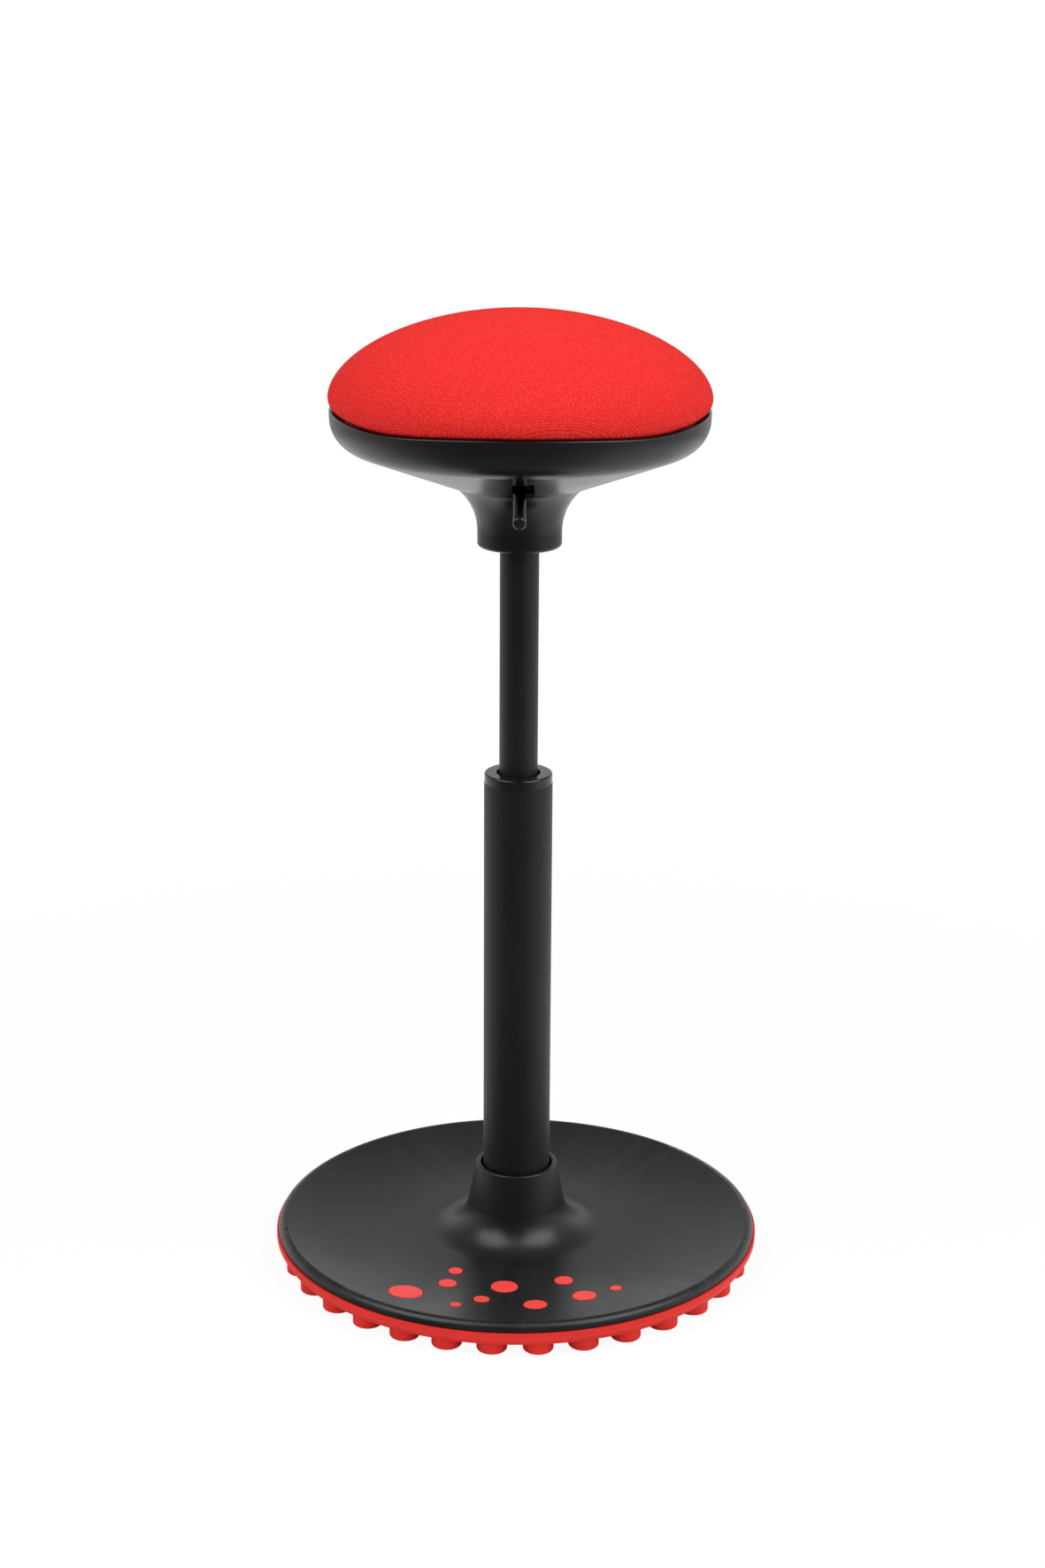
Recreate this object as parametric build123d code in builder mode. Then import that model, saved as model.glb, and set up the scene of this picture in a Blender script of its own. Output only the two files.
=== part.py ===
"""A round-seated swivel stool on a gas-lift column and a studded rubber-soled disc base.

Millimetres, +Z up. The origin is on the floor at the column axis, and the release lever
points along -Y, which is the front of the stool.
"""

import os
from math import asin, cos, degrees, hypot, radians, sin, sqrt, tan

from build123d import *

# Clearances
running_gap = 0.05
fixed_gap = 0.03
free_gap = 0.3

# Rubber sole and its studs
sole_radius = 182.0
sole_rim_height = 9.6
sole_rim_width = 12.0
sole_rim_bevel = 3.0
sole_bevel_height = 5.0
sole_web = 3.0
sole_web_drop = 4.4
sole_step = 4.0
sole_plate_margin = 2.0
stud_height = 9.2
stud_diameter = 22.0
stud_edge = 1.8
stud_inset = 14.5
stud_count = 32
stud_ring_spacing = 37.5
inner_ring_count = 24
middle_ring_count = 16
centre_ring_count = 10

# Ballast plate and column socket
plate_thickness = 3.4
plate_inset = 22.0
socket_wall = 3.4
socket_gap = 1.2
socket_flange = 4.0
socket_flange_width = 9.6

# Base dish
dish_wall = 3.7
dish_flat = 16.0
lip_inset = 1.6
lip_wall = 1.4
lip_round = 5.25
hub_rise = 54.2
hub_gap = 1.4
hub_cone_angle = 11.3
hub_fillet = 28.0
hub_edge = 1.2

# Grip dots: angle from the front, inset from the lip and diameter of each
dot_angles = (-33.5, -29.9, -26.6, -4.5, -10.9, -17.0, 6.0, 21.0, 22.4, 33.8)
dot_insets = (36.6, 91.4, 69.7, 77.1, 51.2, 34.1, 42.8, 81.8, 49.6, 49.2)
dot_diameters = (25.4, 10.6, 13.7, 19.8, 11.7, 8.7, 17.3, 13.7, 17.8, 9.1)
dot_depth = 1.8
dot_proud = 0.5
dot_gap = 0.4
dot_edge = 0.45

# Screws that hold sole, plate and dish together, each between two studs of the inner ring
sole_screw_count = 6
sole_screw_inset = 10.0
sole_screw_diameter = 5.0
sole_screw_head = 9.5
sole_screw_head_height = 2.4
sole_screw_head_edge = 0.8
sole_screw_bite = 1.8
sole_boss_wall = 3.0

# Column
tube_diameter = 50.0
tube_wall = 2.0
tube_length = 358.4
cap_height = 7.4
cap_inset = 0.2
cap_edge = 1.4
cap_gap = 2.0
cap_bore_edge = 0.6
cap_spigot = 8.0
bush_length = 86.0

# Gas spring
cylinder_diameter = 28.0
cylinder_wall = 2.5
cylinder_tail = 14.0
cylinder_showing = 167.7
rod_diameter = 10.0
rod_shoulder = 1.0
rod_guide_length = 14.0
piston_gap = 10.0
piston_length = 12.0
piston_shoulder = 2.0
piston_nut_height = 5.0
piston_nut_flats = 10.0
taper_length = 42.0
taper_drop = 0.8
cylinder_head = 28.0

# Swivel bearing at the foot of the column
end_disc_height = 10.0
end_disc = 4.0
race_thickness = 2.0
race_margin = 1.6
ball_diameter = 4.0
ball_count = 10
cage_gap = 1.0
cage_thickness = 1.6
cage_wall = 1.4
clip_thickness = 1.6
clip_width = 3.5
clip_groove = 1.0
clip_grip = 1.0
stem_tail = 2.5
buffer_height = 12.0
buffer_edge = 2.0

# Seat shell: neck, flare, dished underside and rim wall
shell_height = 97.9
neck_radius = 30.1
neck_straight = 11.0
neck_edge = 2.5
flare_radius = 40.0
flare_reach = 16.0
underside_angle = 20.5
rim_radius = 134.0
rim_taper_angle = 2.0
rim_corner = 24.0
rim_edge = 0.8
rim_dip = 3.0
rim_dip_width = 170.0
rim_dip_start = 45.0
shell_wall = 3.0
shell_floor = 3.0
neck_hole_gap = 0.6

# Slot for the lever in the underside
slot_side_gap = 0.8
slot_width = 15.3
slot_inner_gap = 2.4
slot_outer_gap = 6.5

# Seat board, mount plate and lever bracket
hex_sides = 6
board_thickness = 12.0
board_below_rim = 5.6
board_gap = 1.6
mount_plate_size = 120.0
mount_plate_thickness = 3.0
mount_plate_corner = 14.0
mount_bolt_inset = 20.0
mount_bolt_diameter = 6.0
mount_bolt_head = 10.0
mount_bolt_head_height = 4.5
tee_nut_wall = 1.5
tee_nut_flange_width = 4.5
tee_nut_flange_thickness = 1.3
shell_screw_count = 4
shell_screw_start = 45.0
shell_screw_diameter = 4.0
shell_screw_head = 8.0
shell_screw_head_height = 2.6
shell_screw_bite = 11.0
shell_boss_wall = 4.0
taper_socket_wall = 5.0
bracket_wall = 3.0
bracket_bend = 4.0
bracket_margin = 1.0
bracket_front_margin = 8.0
bracket_back_margin = 5.0

# Release lever, its pin and the valve button
lever_diameter = 9.0
lever_slope = 10.5
lever_lift = 8.0
lever_rise = 16.7
lever_reach = 119.0
lever_tail = 5.0
lever_edge = 1.5
pivot_offset = 24.0
pin_diameter = 4.0
pin_head_margin = 1.5
pin_head_height = 1.6
pin_tail = 2.4
button_diameter = 8.0
button_length = 30.0
button_bevel = 2.0

# Cushion: foam and the cover drawn over it
cushion_overhang = 0.6
cushion_crown = 59.5
cushion_equator = 8.4
crown_power = 1.95
side_power = 1.8
crown_stations = (0.0, 0.29, 0.56, 0.74, 0.88, 0.96, 1.0)
tuck_inset = 5.4
cover_thickness = 1.5
cover_hem = 12.0

# Heights that follow from the stack
rim_bottom = stud_height
web_bottom = stud_height - sole_web_drop
plate_bottom = web_bottom + sole_web
plate_top = plate_bottom + plate_thickness
dish_floor = plate_top + dish_wall
sole_top = rim_bottom + sole_rim_height
hub_height = dish_floor + hub_rise
tube_top = plate_top + tube_length
neck_bottom = tube_top + cap_height + cylinder_showing
rim_top = neck_bottom + shell_height
bush_top = tube_top - cap_spigot
bush_bottom = bush_top - bush_length
cylinder_bottom = bush_bottom - cylinder_tail
taper_bottom = neck_bottom + shell_floor + free_gap
taper_top = taper_bottom + taper_length
board_top = rim_top - board_below_rim
board_bottom = board_top - board_thickness
mount_bottom = board_bottom - mount_plate_thickness
bracket_floor_top = taper_top + bracket_wall

# Radii of the column and the gas spring
tube_radius = tube_diameter / 2
tube_bore = tube_radius - tube_wall
insert_radius = tube_bore - fixed_gap
cylinder_radius = cylinder_diameter / 2
cylinder_bore = cylinder_radius - cylinder_wall
cap_bore_radius = cylinder_radius + cap_gap
rod_radius = rod_diameter / 2
stem_radius = rod_radius - rod_shoulder
piston_stud_radius = rod_radius - piston_shoulder
button_radius = button_diameter / 2

# The swivel bearing, stacked on the disc in the tube's foot
ball_radius = ball_diameter / 2
ball_ring_radius = stem_radius + cage_gap + cage_wall + ball_radius
race_radius = ball_ring_radius + ball_radius + race_margin
clip_radius = stem_radius + clip_width
clip_bore = stem_radius - clip_groove
disc_bottom = plate_top + end_disc_height
lower_race_bottom = disc_bottom + end_disc
ball_height = lower_race_bottom + race_thickness + ball_radius + fixed_gap
upper_race_bottom = ball_height + ball_radius + running_gap
shoulder_height = upper_race_bottom + race_thickness
clip_bottom = disc_bottom - free_gap - clip_thickness
stem_bottom = clip_bottom - stem_tail
piston_bottom = cylinder_bottom + rod_guide_length + piston_gap

# The sole's rim and web, its studs and screws
rim_inner = sole_radius - sole_rim_width
plate_radius = rim_inner - plate_inset
web_edge = plate_radius + sole_plate_margin
stud_ring_radius = sole_radius - stud_inset
sole_screw_ring = plate_radius - sole_screw_inset
sole_screw_start = 180.0 / inner_ring_count

# The dish's hub, the socket inside it, and the bowl that rises to the lip's round
hub_cone = tan(radians(hub_cone_angle))
hub_top_radius = tube_radius + hub_gap + dish_wall / cos(radians(hub_cone_angle))
hub_fillet_height = dish_floor + hub_fillet
hub_fillet_middle = (90.0 + hub_cone_angle) / 2
hub_fillet_radius = (
    hub_top_radius
    + (hub_height - hub_fillet_height) * hub_cone
    + hub_fillet / cos(radians(hub_cone_angle))
)
socket_radius = tube_radius + fixed_gap + socket_wall
socket_top = hub_height - (socket_radius + socket_gap - tube_radius - hub_gap) / hub_cone
dish_flat_radius = hub_fillet_radius + dish_flat
lip_radius = sole_radius - lip_inset
lip_round_radius = lip_radius - lip_round
lip_round_height = sole_top + lip_wall
bowl_span = lip_round_radius - dish_flat_radius
bowl_rise = lip_round_height - dish_floor
dish_bowl_radius = (bowl_span**2 + bowl_rise**2 - lip_round**2) / (2 * (lip_round + bowl_rise))
bowl_end = dish_flat_radius + bowl_span * dish_bowl_radius / (dish_bowl_radius + lip_round)
bowl_end_slope = degrees(asin((bowl_end - dish_flat_radius) / dish_bowl_radius))

# The seat shell's flare and the crease where the underside begins
flare_start = neck_bottom + neck_straight
flare_centre = neck_radius + flare_radius
flare_middle = flare_reach / 4
crease_radius = neck_radius + flare_reach
crease_height = flare_start + sqrt(flare_radius**2 - (flare_radius - flare_reach) ** 2)

# The four shallow dips in the seat's rim
rim_dip_side = rim_dip_width / 2
rim_dip_floor = rim_top - rim_dip

# The cushion's edge, the mount plate's fasteners and the lever bracket
cushion_radius = rim_radius + cushion_overhang
tuck_radius = rim_radius - tuck_inset
mount_bolt_spacing = mount_plate_size - 2 * mount_bolt_inset
tee_nut_barrel = mount_bolt_diameter + 2 * tee_nut_wall
tee_nut_flange = tee_nut_barrel + 2 * tee_nut_flange_width
taper_socket_radius = cylinder_radius + taper_socket_wall
bracket_inside = taper_socket_radius + bracket_margin
bracket_outside = bracket_inside + bracket_wall
bracket_front = pivot_offset + bracket_front_margin
bracket_back = taper_socket_radius + bracket_back_margin

# The lever's line, the button under it and the slot that it passes through
lever_radius = lever_diameter / 2
lever_fall = tan(radians(lever_slope))
lever_height_at_axis = taper_top + lever_rise
lever_drop = lever_radius / cos(radians(lever_slope))
pivot_height = lever_height_at_axis - pivot_offset * lever_fall
pin_head = pin_diameter + 2 * pin_head_margin
button_flat = button_radius - button_bevel
button_top = lever_height_at_axis - lever_drop - button_flat * lever_fall - free_gap
slot_left = lever_radius + slot_side_gap
slot_right = slot_width - slot_left

# The lever's inner end, looking along the lever
lever_plane = Plane(
    origin=(0.0, lever_tail, lever_height_at_axis + lever_tail * lever_fall),
    x_dir=(1.0, 0.0, 0.0),
    z_dir=(0.0, -cos(radians(lever_slope)), -sin(radians(lever_slope))),
)


def hub_surface(height, inset):
    """Radius of the hub cone at a height, moved inwards by inset."""
    return hub_top_radius + (hub_height - height) * hub_cone - inset / cos(radians(hub_cone_angle))


def hub_fillet_point(radius, angle):
    """Point on the hub's foot fillet, or on its inner side, at an angle below level."""
    return (
        hub_fillet_radius - radius * cos(radians(angle)),
        hub_fillet_height - radius * sin(radians(angle)),
    )


def bowl_height(radius, inset=0.0):
    """Height of the dish's top surface at a radius, or of its underside at an inset."""
    reach = max(radius - dish_flat_radius, 0.0)
    return dish_floor + dish_bowl_radius - sqrt((dish_bowl_radius + inset) ** 2 - reach**2)


def lip_round_point(angle):
    """Point on the rounded edge of the dish's lip, at an angle above level."""
    return (
        lip_round_radius + lip_round * cos(radians(angle)),
        lip_round_height + lip_round * sin(radians(angle)),
    )


sole_screw_top = bowl_height(sole_screw_ring) - sole_screw_bite
sole_boss_radius = sole_screw_diameter / 2 + sole_boss_wall
sole_boss_top = bowl_height(sole_screw_ring + sole_boss_radius)


def dot_plane(angle, inset):
    """Plane on the dish's top surface, at an angle from the front and an inset from the lip."""
    radius = lip_radius - inset
    tilt = max(radius - dish_flat_radius, 0.0) / dish_bowl_radius
    across = sin(radians(angle))
    forward = -cos(radians(angle))
    return Plane(
        origin=(radius * across, radius * forward, bowl_height(radius)),
        z_dir=(-tilt * across, -tilt * forward, sqrt(1.0 - tilt**2)),
    )


def lever_crossing(slope, side, depth):
    """Distance in front of the axis at which the lever passes the seat's underside.

    slope is the lever's fall in degrees, side is 1 for its top and -1 for its bottom, and
    depth is measured inwards from the underside's outer face.
    """
    fall = tan(radians(slope))
    climb = tan(radians(underside_angle))
    lever = pivot_height + pivot_offset * fall + side * lever_radius / cos(radians(slope))
    shell = crease_height + depth / cos(radians(underside_angle)) - crease_radius * climb
    return (lever - shell) / (fall + climb)


slot_start = lever_crossing(lever_slope, -1, shell_wall) - slot_inner_gap
slot_end = lever_crossing(lever_slope - lever_lift, 1, 0.0) + slot_outer_gap


def shell_corner(inset):
    """Corner between the seat's underside cone and its rim wall, moved inwards by inset."""
    climb = tan(radians(underside_angle))
    lean = tan(radians(rim_taper_angle))
    wall = rim_radius - inset / cos(radians(rim_taper_angle))
    cone = crease_height + inset / cos(radians(underside_angle)) - crease_radius * climb
    radius = (wall - lean * (rim_top - cone)) / (1.0 - climb * lean)
    return radius, cone + climb * radius


def shell_inside(height):
    """Radius of the seat shell's hollow at a height: on its wall, its round corner or its cone."""
    climb = radians(underside_angle)
    lean = radians(rim_taper_angle)
    corner_radius, corner_height = shell_corner(shell_wall)
    turn = radians(90.0 - rim_taper_angle - underside_angle)
    tangent = inner_corner * tan(turn / 2)
    wall_foot = corner_height + tangent * cos(lean)
    cone_top = corner_height - tangent * sin(climb)
    if height >= wall_foot:
        return corner_radius + (height - corner_height) * tan(lean)
    if height <= cone_top:
        return corner_radius - (corner_height - height) / tan(climb)
    centre_radius = corner_radius + tangent * sin(lean) - inner_corner * cos(lean)
    centre_height = wall_foot + inner_corner * sin(lean)
    return centre_radius + sqrt(inner_corner**2 - (centre_height - height) ** 2)


def flare_point(inset, reach):
    """Point on the neck's flare, at a reach outside the neck and moved inwards by inset."""
    rise = sqrt(flare_radius**2 - (flare_radius - reach) ** 2)
    scale = (flare_radius + inset) / flare_radius
    return (
        flare_centre - (flare_radius - reach) * scale,
        flare_start + rise * scale,
    )


inner_corner = rim_corner - shell_wall
board_radius = shell_inside(board_bottom - cover_thickness) - board_gap - cover_thickness
cover_foot_radius = board_radius + fixed_gap + cover_thickness

# The board's screws stand midway between the mount plate's corners and the board's edge
mount_reach = (mount_plate_size / 2 - mount_plate_corner) * sqrt(2) + mount_plate_corner
shell_screw_ring = (mount_reach + board_radius) / 2


def dome_height(radius, inset):
    """Height of the cushion's crown at a radius, moved inwards by inset."""
    share = 1.0 - (radius / (cushion_radius - inset)) ** crown_power
    rise = (cushion_crown - inset) * max(share, 0.0) ** (1.0 / side_power)
    return rim_top + cushion_equator + rise


def cushion_section(inset, foot_radius, foot_height):
    """Half the cushion's section: its crown, drawn-in side and foot."""
    edge = cushion_radius - inset
    ring = [(edge * share, dome_height(edge * share, inset)) for share in crown_stations]
    tuck = (tuck_radius - inset, rim_top)
    with BuildLine() as section:
        for start, middle, end in zip(ring[0::2], ring[1::2], ring[2::2]):
            ThreePointArc(start, middle, end)
        TangentArc(ring[-1], tuck, tangent=(0.0, -1.0))
        Polyline(tuck, (foot_radius, foot_height), (0.0, foot_height), ring[0])
    return section.line


# Rubber sole: a web with an upturned rim, moulded in one with its studs
with BuildPart() as rubber_sole:
    with BuildSketch(Plane.XZ):
        with BuildLine():
            Polyline(
                (0.0, web_bottom),
                (web_edge, web_bottom),
                (web_edge + sole_step, rim_bottom),
                (sole_radius - sole_rim_bevel, rim_bottom),
                (sole_radius, rim_bottom + sole_bevel_height),
                (sole_radius, sole_top),
                (rim_inner, sole_top),
                (rim_inner, rim_bottom + sole_web),
                (web_edge + sole_step, rim_bottom + sole_web),
                (web_edge, plate_bottom),
                (0.0, plate_bottom),
                close=True,
            )
        make_face()
    revolve(axis=Axis.Z)
    with BuildSketch():
        with PolarLocations(stud_ring_radius, stud_count, start_angle=180.0 / stud_count - 90.0):
            Circle(stud_diameter / 2)
    extrude(amount=rim_bottom)
    ring_counts = (inner_ring_count, middle_ring_count, centre_ring_count)
    for step, ring_count in enumerate(ring_counts, start=1):
        with BuildSketch():
            with PolarLocations(stud_ring_radius - step * stud_ring_spacing, ring_count):
                Circle(stud_diameter / 2)
        extrude(amount=web_bottom)
    fillet(rubber_sole.faces().group_by(Axis.Z)[0].edges(), radius=stud_edge)
    with BuildSketch(Plane.XY.offset(web_bottom)):
        with PolarLocations(sole_screw_ring, sole_screw_count, start_angle=sole_screw_start):
            Circle(sole_screw_diameter / 2 + fixed_gap)
    extrude(amount=sole_web, mode=Mode.SUBTRACT)
rubber_sole.part.label = "rubber_sole"


# Steel ballast plate
with BuildPart() as ballast_plate:
    with BuildSketch(Plane.XY.offset(plate_bottom)):
        Circle(plate_radius)
        with PolarLocations(sole_screw_ring, sole_screw_count, start_angle=sole_screw_start):
            Circle(sole_screw_diameter / 2 + fixed_gap, mode=Mode.SUBTRACT)
    extrude(amount=plate_thickness)
ballast_plate.part.label = "ballast_plate"


# Steel socket welded on the plate, which holds the foot of the column
with BuildPart() as column_socket:
    with BuildSketch(Plane.XY.offset(plate_top)):
        Circle(socket_radius + socket_flange_width)
    extrude(amount=socket_flange)
    with BuildSketch(Plane.XY.offset(plate_top)):
        Circle(socket_radius)
    extrude(amount=socket_top - plate_top)
    with BuildSketch(Plane.XY.offset(plate_top)):
        Circle(tube_radius + fixed_gap)
    extrude(amount=socket_top - plate_top, mode=Mode.SUBTRACT)
column_socket.part.label = "column_socket"


# Space under the dish, with the screw bosses left standing in it
with BuildPart() as dish_cavity:
    middle_radius = (dish_flat_radius + rim_inner) / 2
    with BuildSketch(Plane.XZ):
        with BuildLine():
            Line((dish_flat_radius, plate_top), (hub_fillet_radius, plate_top))
            ThreePointArc(
                (hub_fillet_radius, plate_top),
                hub_fillet_point(hub_fillet + dish_wall, hub_fillet_middle),
                hub_fillet_point(hub_fillet + dish_wall, hub_cone_angle),
            )
            Polyline(
                hub_fillet_point(hub_fillet + dish_wall, hub_cone_angle),
                (hub_surface(hub_height, dish_wall), hub_height),
                (0.0, hub_height),
                (0.0, web_bottom),
                (rim_inner, web_bottom),
                (rim_inner, bowl_height(rim_inner, dish_wall)),
            )
            ThreePointArc(
                (rim_inner, bowl_height(rim_inner, dish_wall)),
                (middle_radius, bowl_height(middle_radius, dish_wall)),
                (dish_flat_radius, plate_top),
            )
        make_face()
    revolve(axis=Axis.Z)
    with BuildSketch(Plane.XY.offset(plate_top)):
        with PolarLocations(sole_screw_ring, sole_screw_count, start_angle=sole_screw_start):
            Circle(sole_boss_radius)
    extrude(amount=sole_boss_top - plate_top, mode=Mode.SUBTRACT)


# Black dish with its hub, seated on the sole's rim and on the plate
with BuildPart() as base_dish:
    middle_radius = (dish_flat_radius + bowl_end) / 2
    with BuildSketch(Plane.XZ):
        with BuildLine():
            Polyline(
                (0.0, plate_top),
                (rim_inner, plate_top),
                (rim_inner, sole_top),
                (lip_radius, sole_top),
                (lip_radius, lip_round_height),
            )
            ThreePointArc(
                (lip_radius, lip_round_height),
                lip_round_point((90.0 + bowl_end_slope) / 2),
                lip_round_point(90.0 + bowl_end_slope),
            )
            ThreePointArc(
                lip_round_point(90.0 + bowl_end_slope),
                (middle_radius, bowl_height(middle_radius)),
                (dish_flat_radius, dish_floor),
            )
            Line((dish_flat_radius, dish_floor), (hub_fillet_radius, dish_floor))
            ThreePointArc(
                (hub_fillet_radius, dish_floor),
                hub_fillet_point(hub_fillet, hub_fillet_middle),
                hub_fillet_point(hub_fillet, hub_cone_angle),
            )
            Polyline(
                hub_fillet_point(hub_fillet, hub_cone_angle),
                (hub_top_radius, hub_height),
                (0.0, hub_height),
                (0.0, plate_top),
            )
        make_face()
    revolve(axis=Axis.Z)
    add(dish_cavity.part, mode=Mode.SUBTRACT)
    fillet(base_dish.faces().sort_by(Axis.Z)[-1].edges(), radius=hub_edge)
    for angle, inset, diameter in zip(dot_angles, dot_insets, dot_diameters):
        with BuildSketch(dot_plane(angle, inset).offset(-dot_depth)):
            Circle(diameter / 2 + dot_gap)
        extrude(amount=dot_depth + dot_proud, mode=Mode.SUBTRACT)
    with BuildSketch(Plane.XY.offset(plate_top)):
        with PolarLocations(sole_screw_ring, sole_screw_count, start_angle=sole_screw_start):
            Circle(sole_screw_diameter / 2 + fixed_gap)
    extrude(amount=sole_screw_top + free_gap - plate_top, mode=Mode.SUBTRACT)
base_dish.part.label = "base_dish"


# Red rubber dots set in pockets of the dish
with BuildPart() as grip_dots:
    for angle, inset, diameter in zip(dot_angles, dot_insets, dot_diameters):
        with BuildSketch(dot_plane(angle, inset).offset(-dot_depth)):
            Circle(diameter / 2)
        extrude(amount=dot_depth + dot_proud)
        fillet(grip_dots.faces(Select.LAST).sort_by(Axis.Z)[-1].edges(), radius=dot_edge)
grip_dots.part.label = "grip_dots"


# Screws up through sole and plate into the dish
with BuildPart() as sole_screws:
    with BuildSketch(Plane.XY.offset(web_bottom)):
        with PolarLocations(sole_screw_ring, sole_screw_count, start_angle=sole_screw_start):
            Circle(sole_screw_head / 2)
    extrude(amount=-sole_screw_head_height)
    fillet(sole_screws.faces().group_by(Axis.Z)[0].edges(), radius=sole_screw_head_edge)
    with BuildSketch(Plane.XY.offset(web_bottom)):
        with PolarLocations(sole_screw_ring, sole_screw_count, start_angle=sole_screw_start):
            Circle(sole_screw_diameter / 2)
    extrude(amount=sole_screw_top - web_bottom)
sole_screws.part.label = "sole_screws"


# Outer tube of the column
with BuildPart() as outer_tube:
    with BuildSketch(Plane.XY.offset(plate_top)):
        Circle(tube_radius)
        Circle(tube_bore, mode=Mode.SUBTRACT)
    extrude(amount=tube_top - plate_top)
outer_tube.part.label = "outer_tube"


# Glossy cap on top of the tube
with BuildPart() as top_cap:
    with BuildSketch(Plane.XY.offset(tube_top)):
        Circle(tube_radius - cap_inset)
    extrude(amount=cap_height)
    fillet(top_cap.faces().sort_by(Axis.Z)[-1].edges(), radius=cap_edge)
    with BuildSketch(Plane.XY.offset(tube_top)):
        Circle(insert_radius)
    extrude(amount=-cap_spigot)
    with BuildSketch(Plane.XY.offset(bush_top)):
        Circle(cap_bore_radius)
    extrude(amount=cap_spigot + cap_height, mode=Mode.SUBTRACT)
    fillet(top_cap.faces().sort_by(Axis.Z)[-1].inner_wires().edges(), radius=cap_bore_edge)
top_cap.part.label = "top_cap"


# Plastic bush that guides the gas spring in the tube
with BuildPart() as guide_bush:
    with BuildSketch(Plane.XY.offset(bush_bottom)):
        Circle(insert_radius)
        Circle(cylinder_radius + running_gap, mode=Mode.SUBTRACT)
    extrude(amount=bush_length)
guide_bush.part.label = "guide_bush"


# Disc in the tube's foot that carries the swivel bearing
with BuildPart() as tube_end_disc:
    with BuildSketch(Plane.XY.offset(disc_bottom)):
        Circle(insert_radius)
        Circle(stem_radius + running_gap, mode=Mode.SUBTRACT)
    extrude(amount=end_disc)
tube_end_disc.part.label = "tube_end_disc"


# Thrust bearing: two races, balls and their cage
with BuildPart() as lower_race:
    with BuildSketch(Plane.XY.offset(lower_race_bottom)):
        Circle(race_radius)
        Circle(stem_radius + free_gap, mode=Mode.SUBTRACT)
    extrude(amount=race_thickness)
lower_race.part.label = "lower_race"

with BuildPart() as bearing_balls:
    with Locations((0.0, 0.0, ball_height)):
        with PolarLocations(ball_ring_radius, ball_count):
            Sphere(ball_radius)
bearing_balls.part.label = "bearing_balls"

with BuildPart() as ball_cage:
    with BuildSketch(Plane.XY.offset(ball_height - cage_thickness / 2)):
        Circle(ball_ring_radius + ball_radius + cage_wall)
        Circle(ball_ring_radius - ball_radius - cage_wall, mode=Mode.SUBTRACT)
        with PolarLocations(ball_ring_radius, ball_count):
            Circle(ball_radius + running_gap, mode=Mode.SUBTRACT)
    extrude(amount=cage_thickness)
ball_cage.part.label = "ball_cage"

with BuildPart() as upper_race:
    with BuildSketch(Plane.XY.offset(upper_race_bottom)):
        Circle(race_radius)
        Circle(stem_radius + fixed_gap, mode=Mode.SUBTRACT)
    extrude(amount=race_thickness)
upper_race.part.label = "upper_race"


# Piston rod: it turns in the bearing and carries the piston
with BuildPart() as piston_rod:
    with BuildSketch(Plane.XZ):
        with BuildLine():
            Polyline(
                (0.0, stem_bottom),
                (stem_radius, stem_bottom),
                (stem_radius, clip_bottom - fixed_gap),
                (clip_bore, clip_bottom - fixed_gap),
                (clip_bore, clip_bottom + clip_thickness + fixed_gap),
                (stem_radius, clip_bottom + clip_thickness + fixed_gap),
                (stem_radius, shoulder_height),
                (rod_radius, shoulder_height),
                (rod_radius, piston_bottom),
                (piston_stud_radius, piston_bottom),
                (piston_stud_radius, piston_bottom + piston_length + piston_nut_height),
                (0.0, piston_bottom + piston_length + piston_nut_height),
                close=True,
            )
        make_face()
    revolve(axis=Axis.Z)
piston_rod.part.label = "piston_rod"

with BuildPart() as retaining_clip:
    with BuildSketch(Plane.XY.offset(clip_bottom)):
        Circle(clip_radius)
        Circle(clip_bore + fixed_gap, mode=Mode.SUBTRACT)
        with Locations((clip_radius, 0.0)):
            Rectangle(2 * clip_radius, 2 * clip_bore - clip_grip, mode=Mode.SUBTRACT)
    extrude(amount=clip_thickness)
retaining_clip.part.label = "retaining_clip"

with BuildPart() as buffer_ring:
    with BuildSketch(Plane.XY.offset(shoulder_height)):
        Circle(race_radius)
        Circle(rod_radius + fixed_gap, mode=Mode.SUBTRACT)
    extrude(amount=buffer_height)
    fillet(buffer_ring.faces().sort_by(Axis.Z)[-1].outer_wire().edges(), radius=buffer_edge)
buffer_ring.part.label = "buffer_ring"

with BuildPart() as piston:
    with BuildSketch(Plane.XY.offset(piston_bottom)):
        Circle(cylinder_bore - running_gap)
        Circle(piston_stud_radius + fixed_gap, mode=Mode.SUBTRACT)
    extrude(amount=piston_length)
piston.part.label = "piston"

with BuildPart() as piston_nut:
    with BuildSketch(Plane.XY.offset(piston_bottom + piston_length)):
        RegularPolygon(radius=piston_nut_flats / 2, side_count=hex_sides, major_radius=False)
        Circle(piston_stud_radius + fixed_gap, mode=Mode.SUBTRACT)
    extrude(amount=piston_nut_height)
piston_nut.part.label = "piston_nut"


# Gas spring cylinder, with the taper that carries the seat
with BuildPart() as gas_cylinder:
    with BuildSketch(Plane.XZ):
        with BuildLine():
            Polyline(
                (cylinder_bore, cylinder_bottom),
                (cylinder_radius, cylinder_bottom),
                (cylinder_radius, taper_bottom),
                (cylinder_radius - taper_drop, taper_top),
                (button_radius + running_gap, taper_top),
                (button_radius + running_gap, taper_top - cylinder_head),
                (cylinder_bore, taper_top - cylinder_head),
                close=True,
            )
        make_face()
    revolve(axis=Axis.Z)
gas_cylinder.part.label = "gas_cylinder"

with BuildPart() as rod_guide:
    with BuildSketch(Plane.XY.offset(cylinder_bottom)):
        Circle(cylinder_bore - fixed_gap)
        Circle(rod_radius + running_gap, mode=Mode.SUBTRACT)
    extrude(amount=rod_guide_length)
rod_guide.part.label = "rod_guide"

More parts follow.
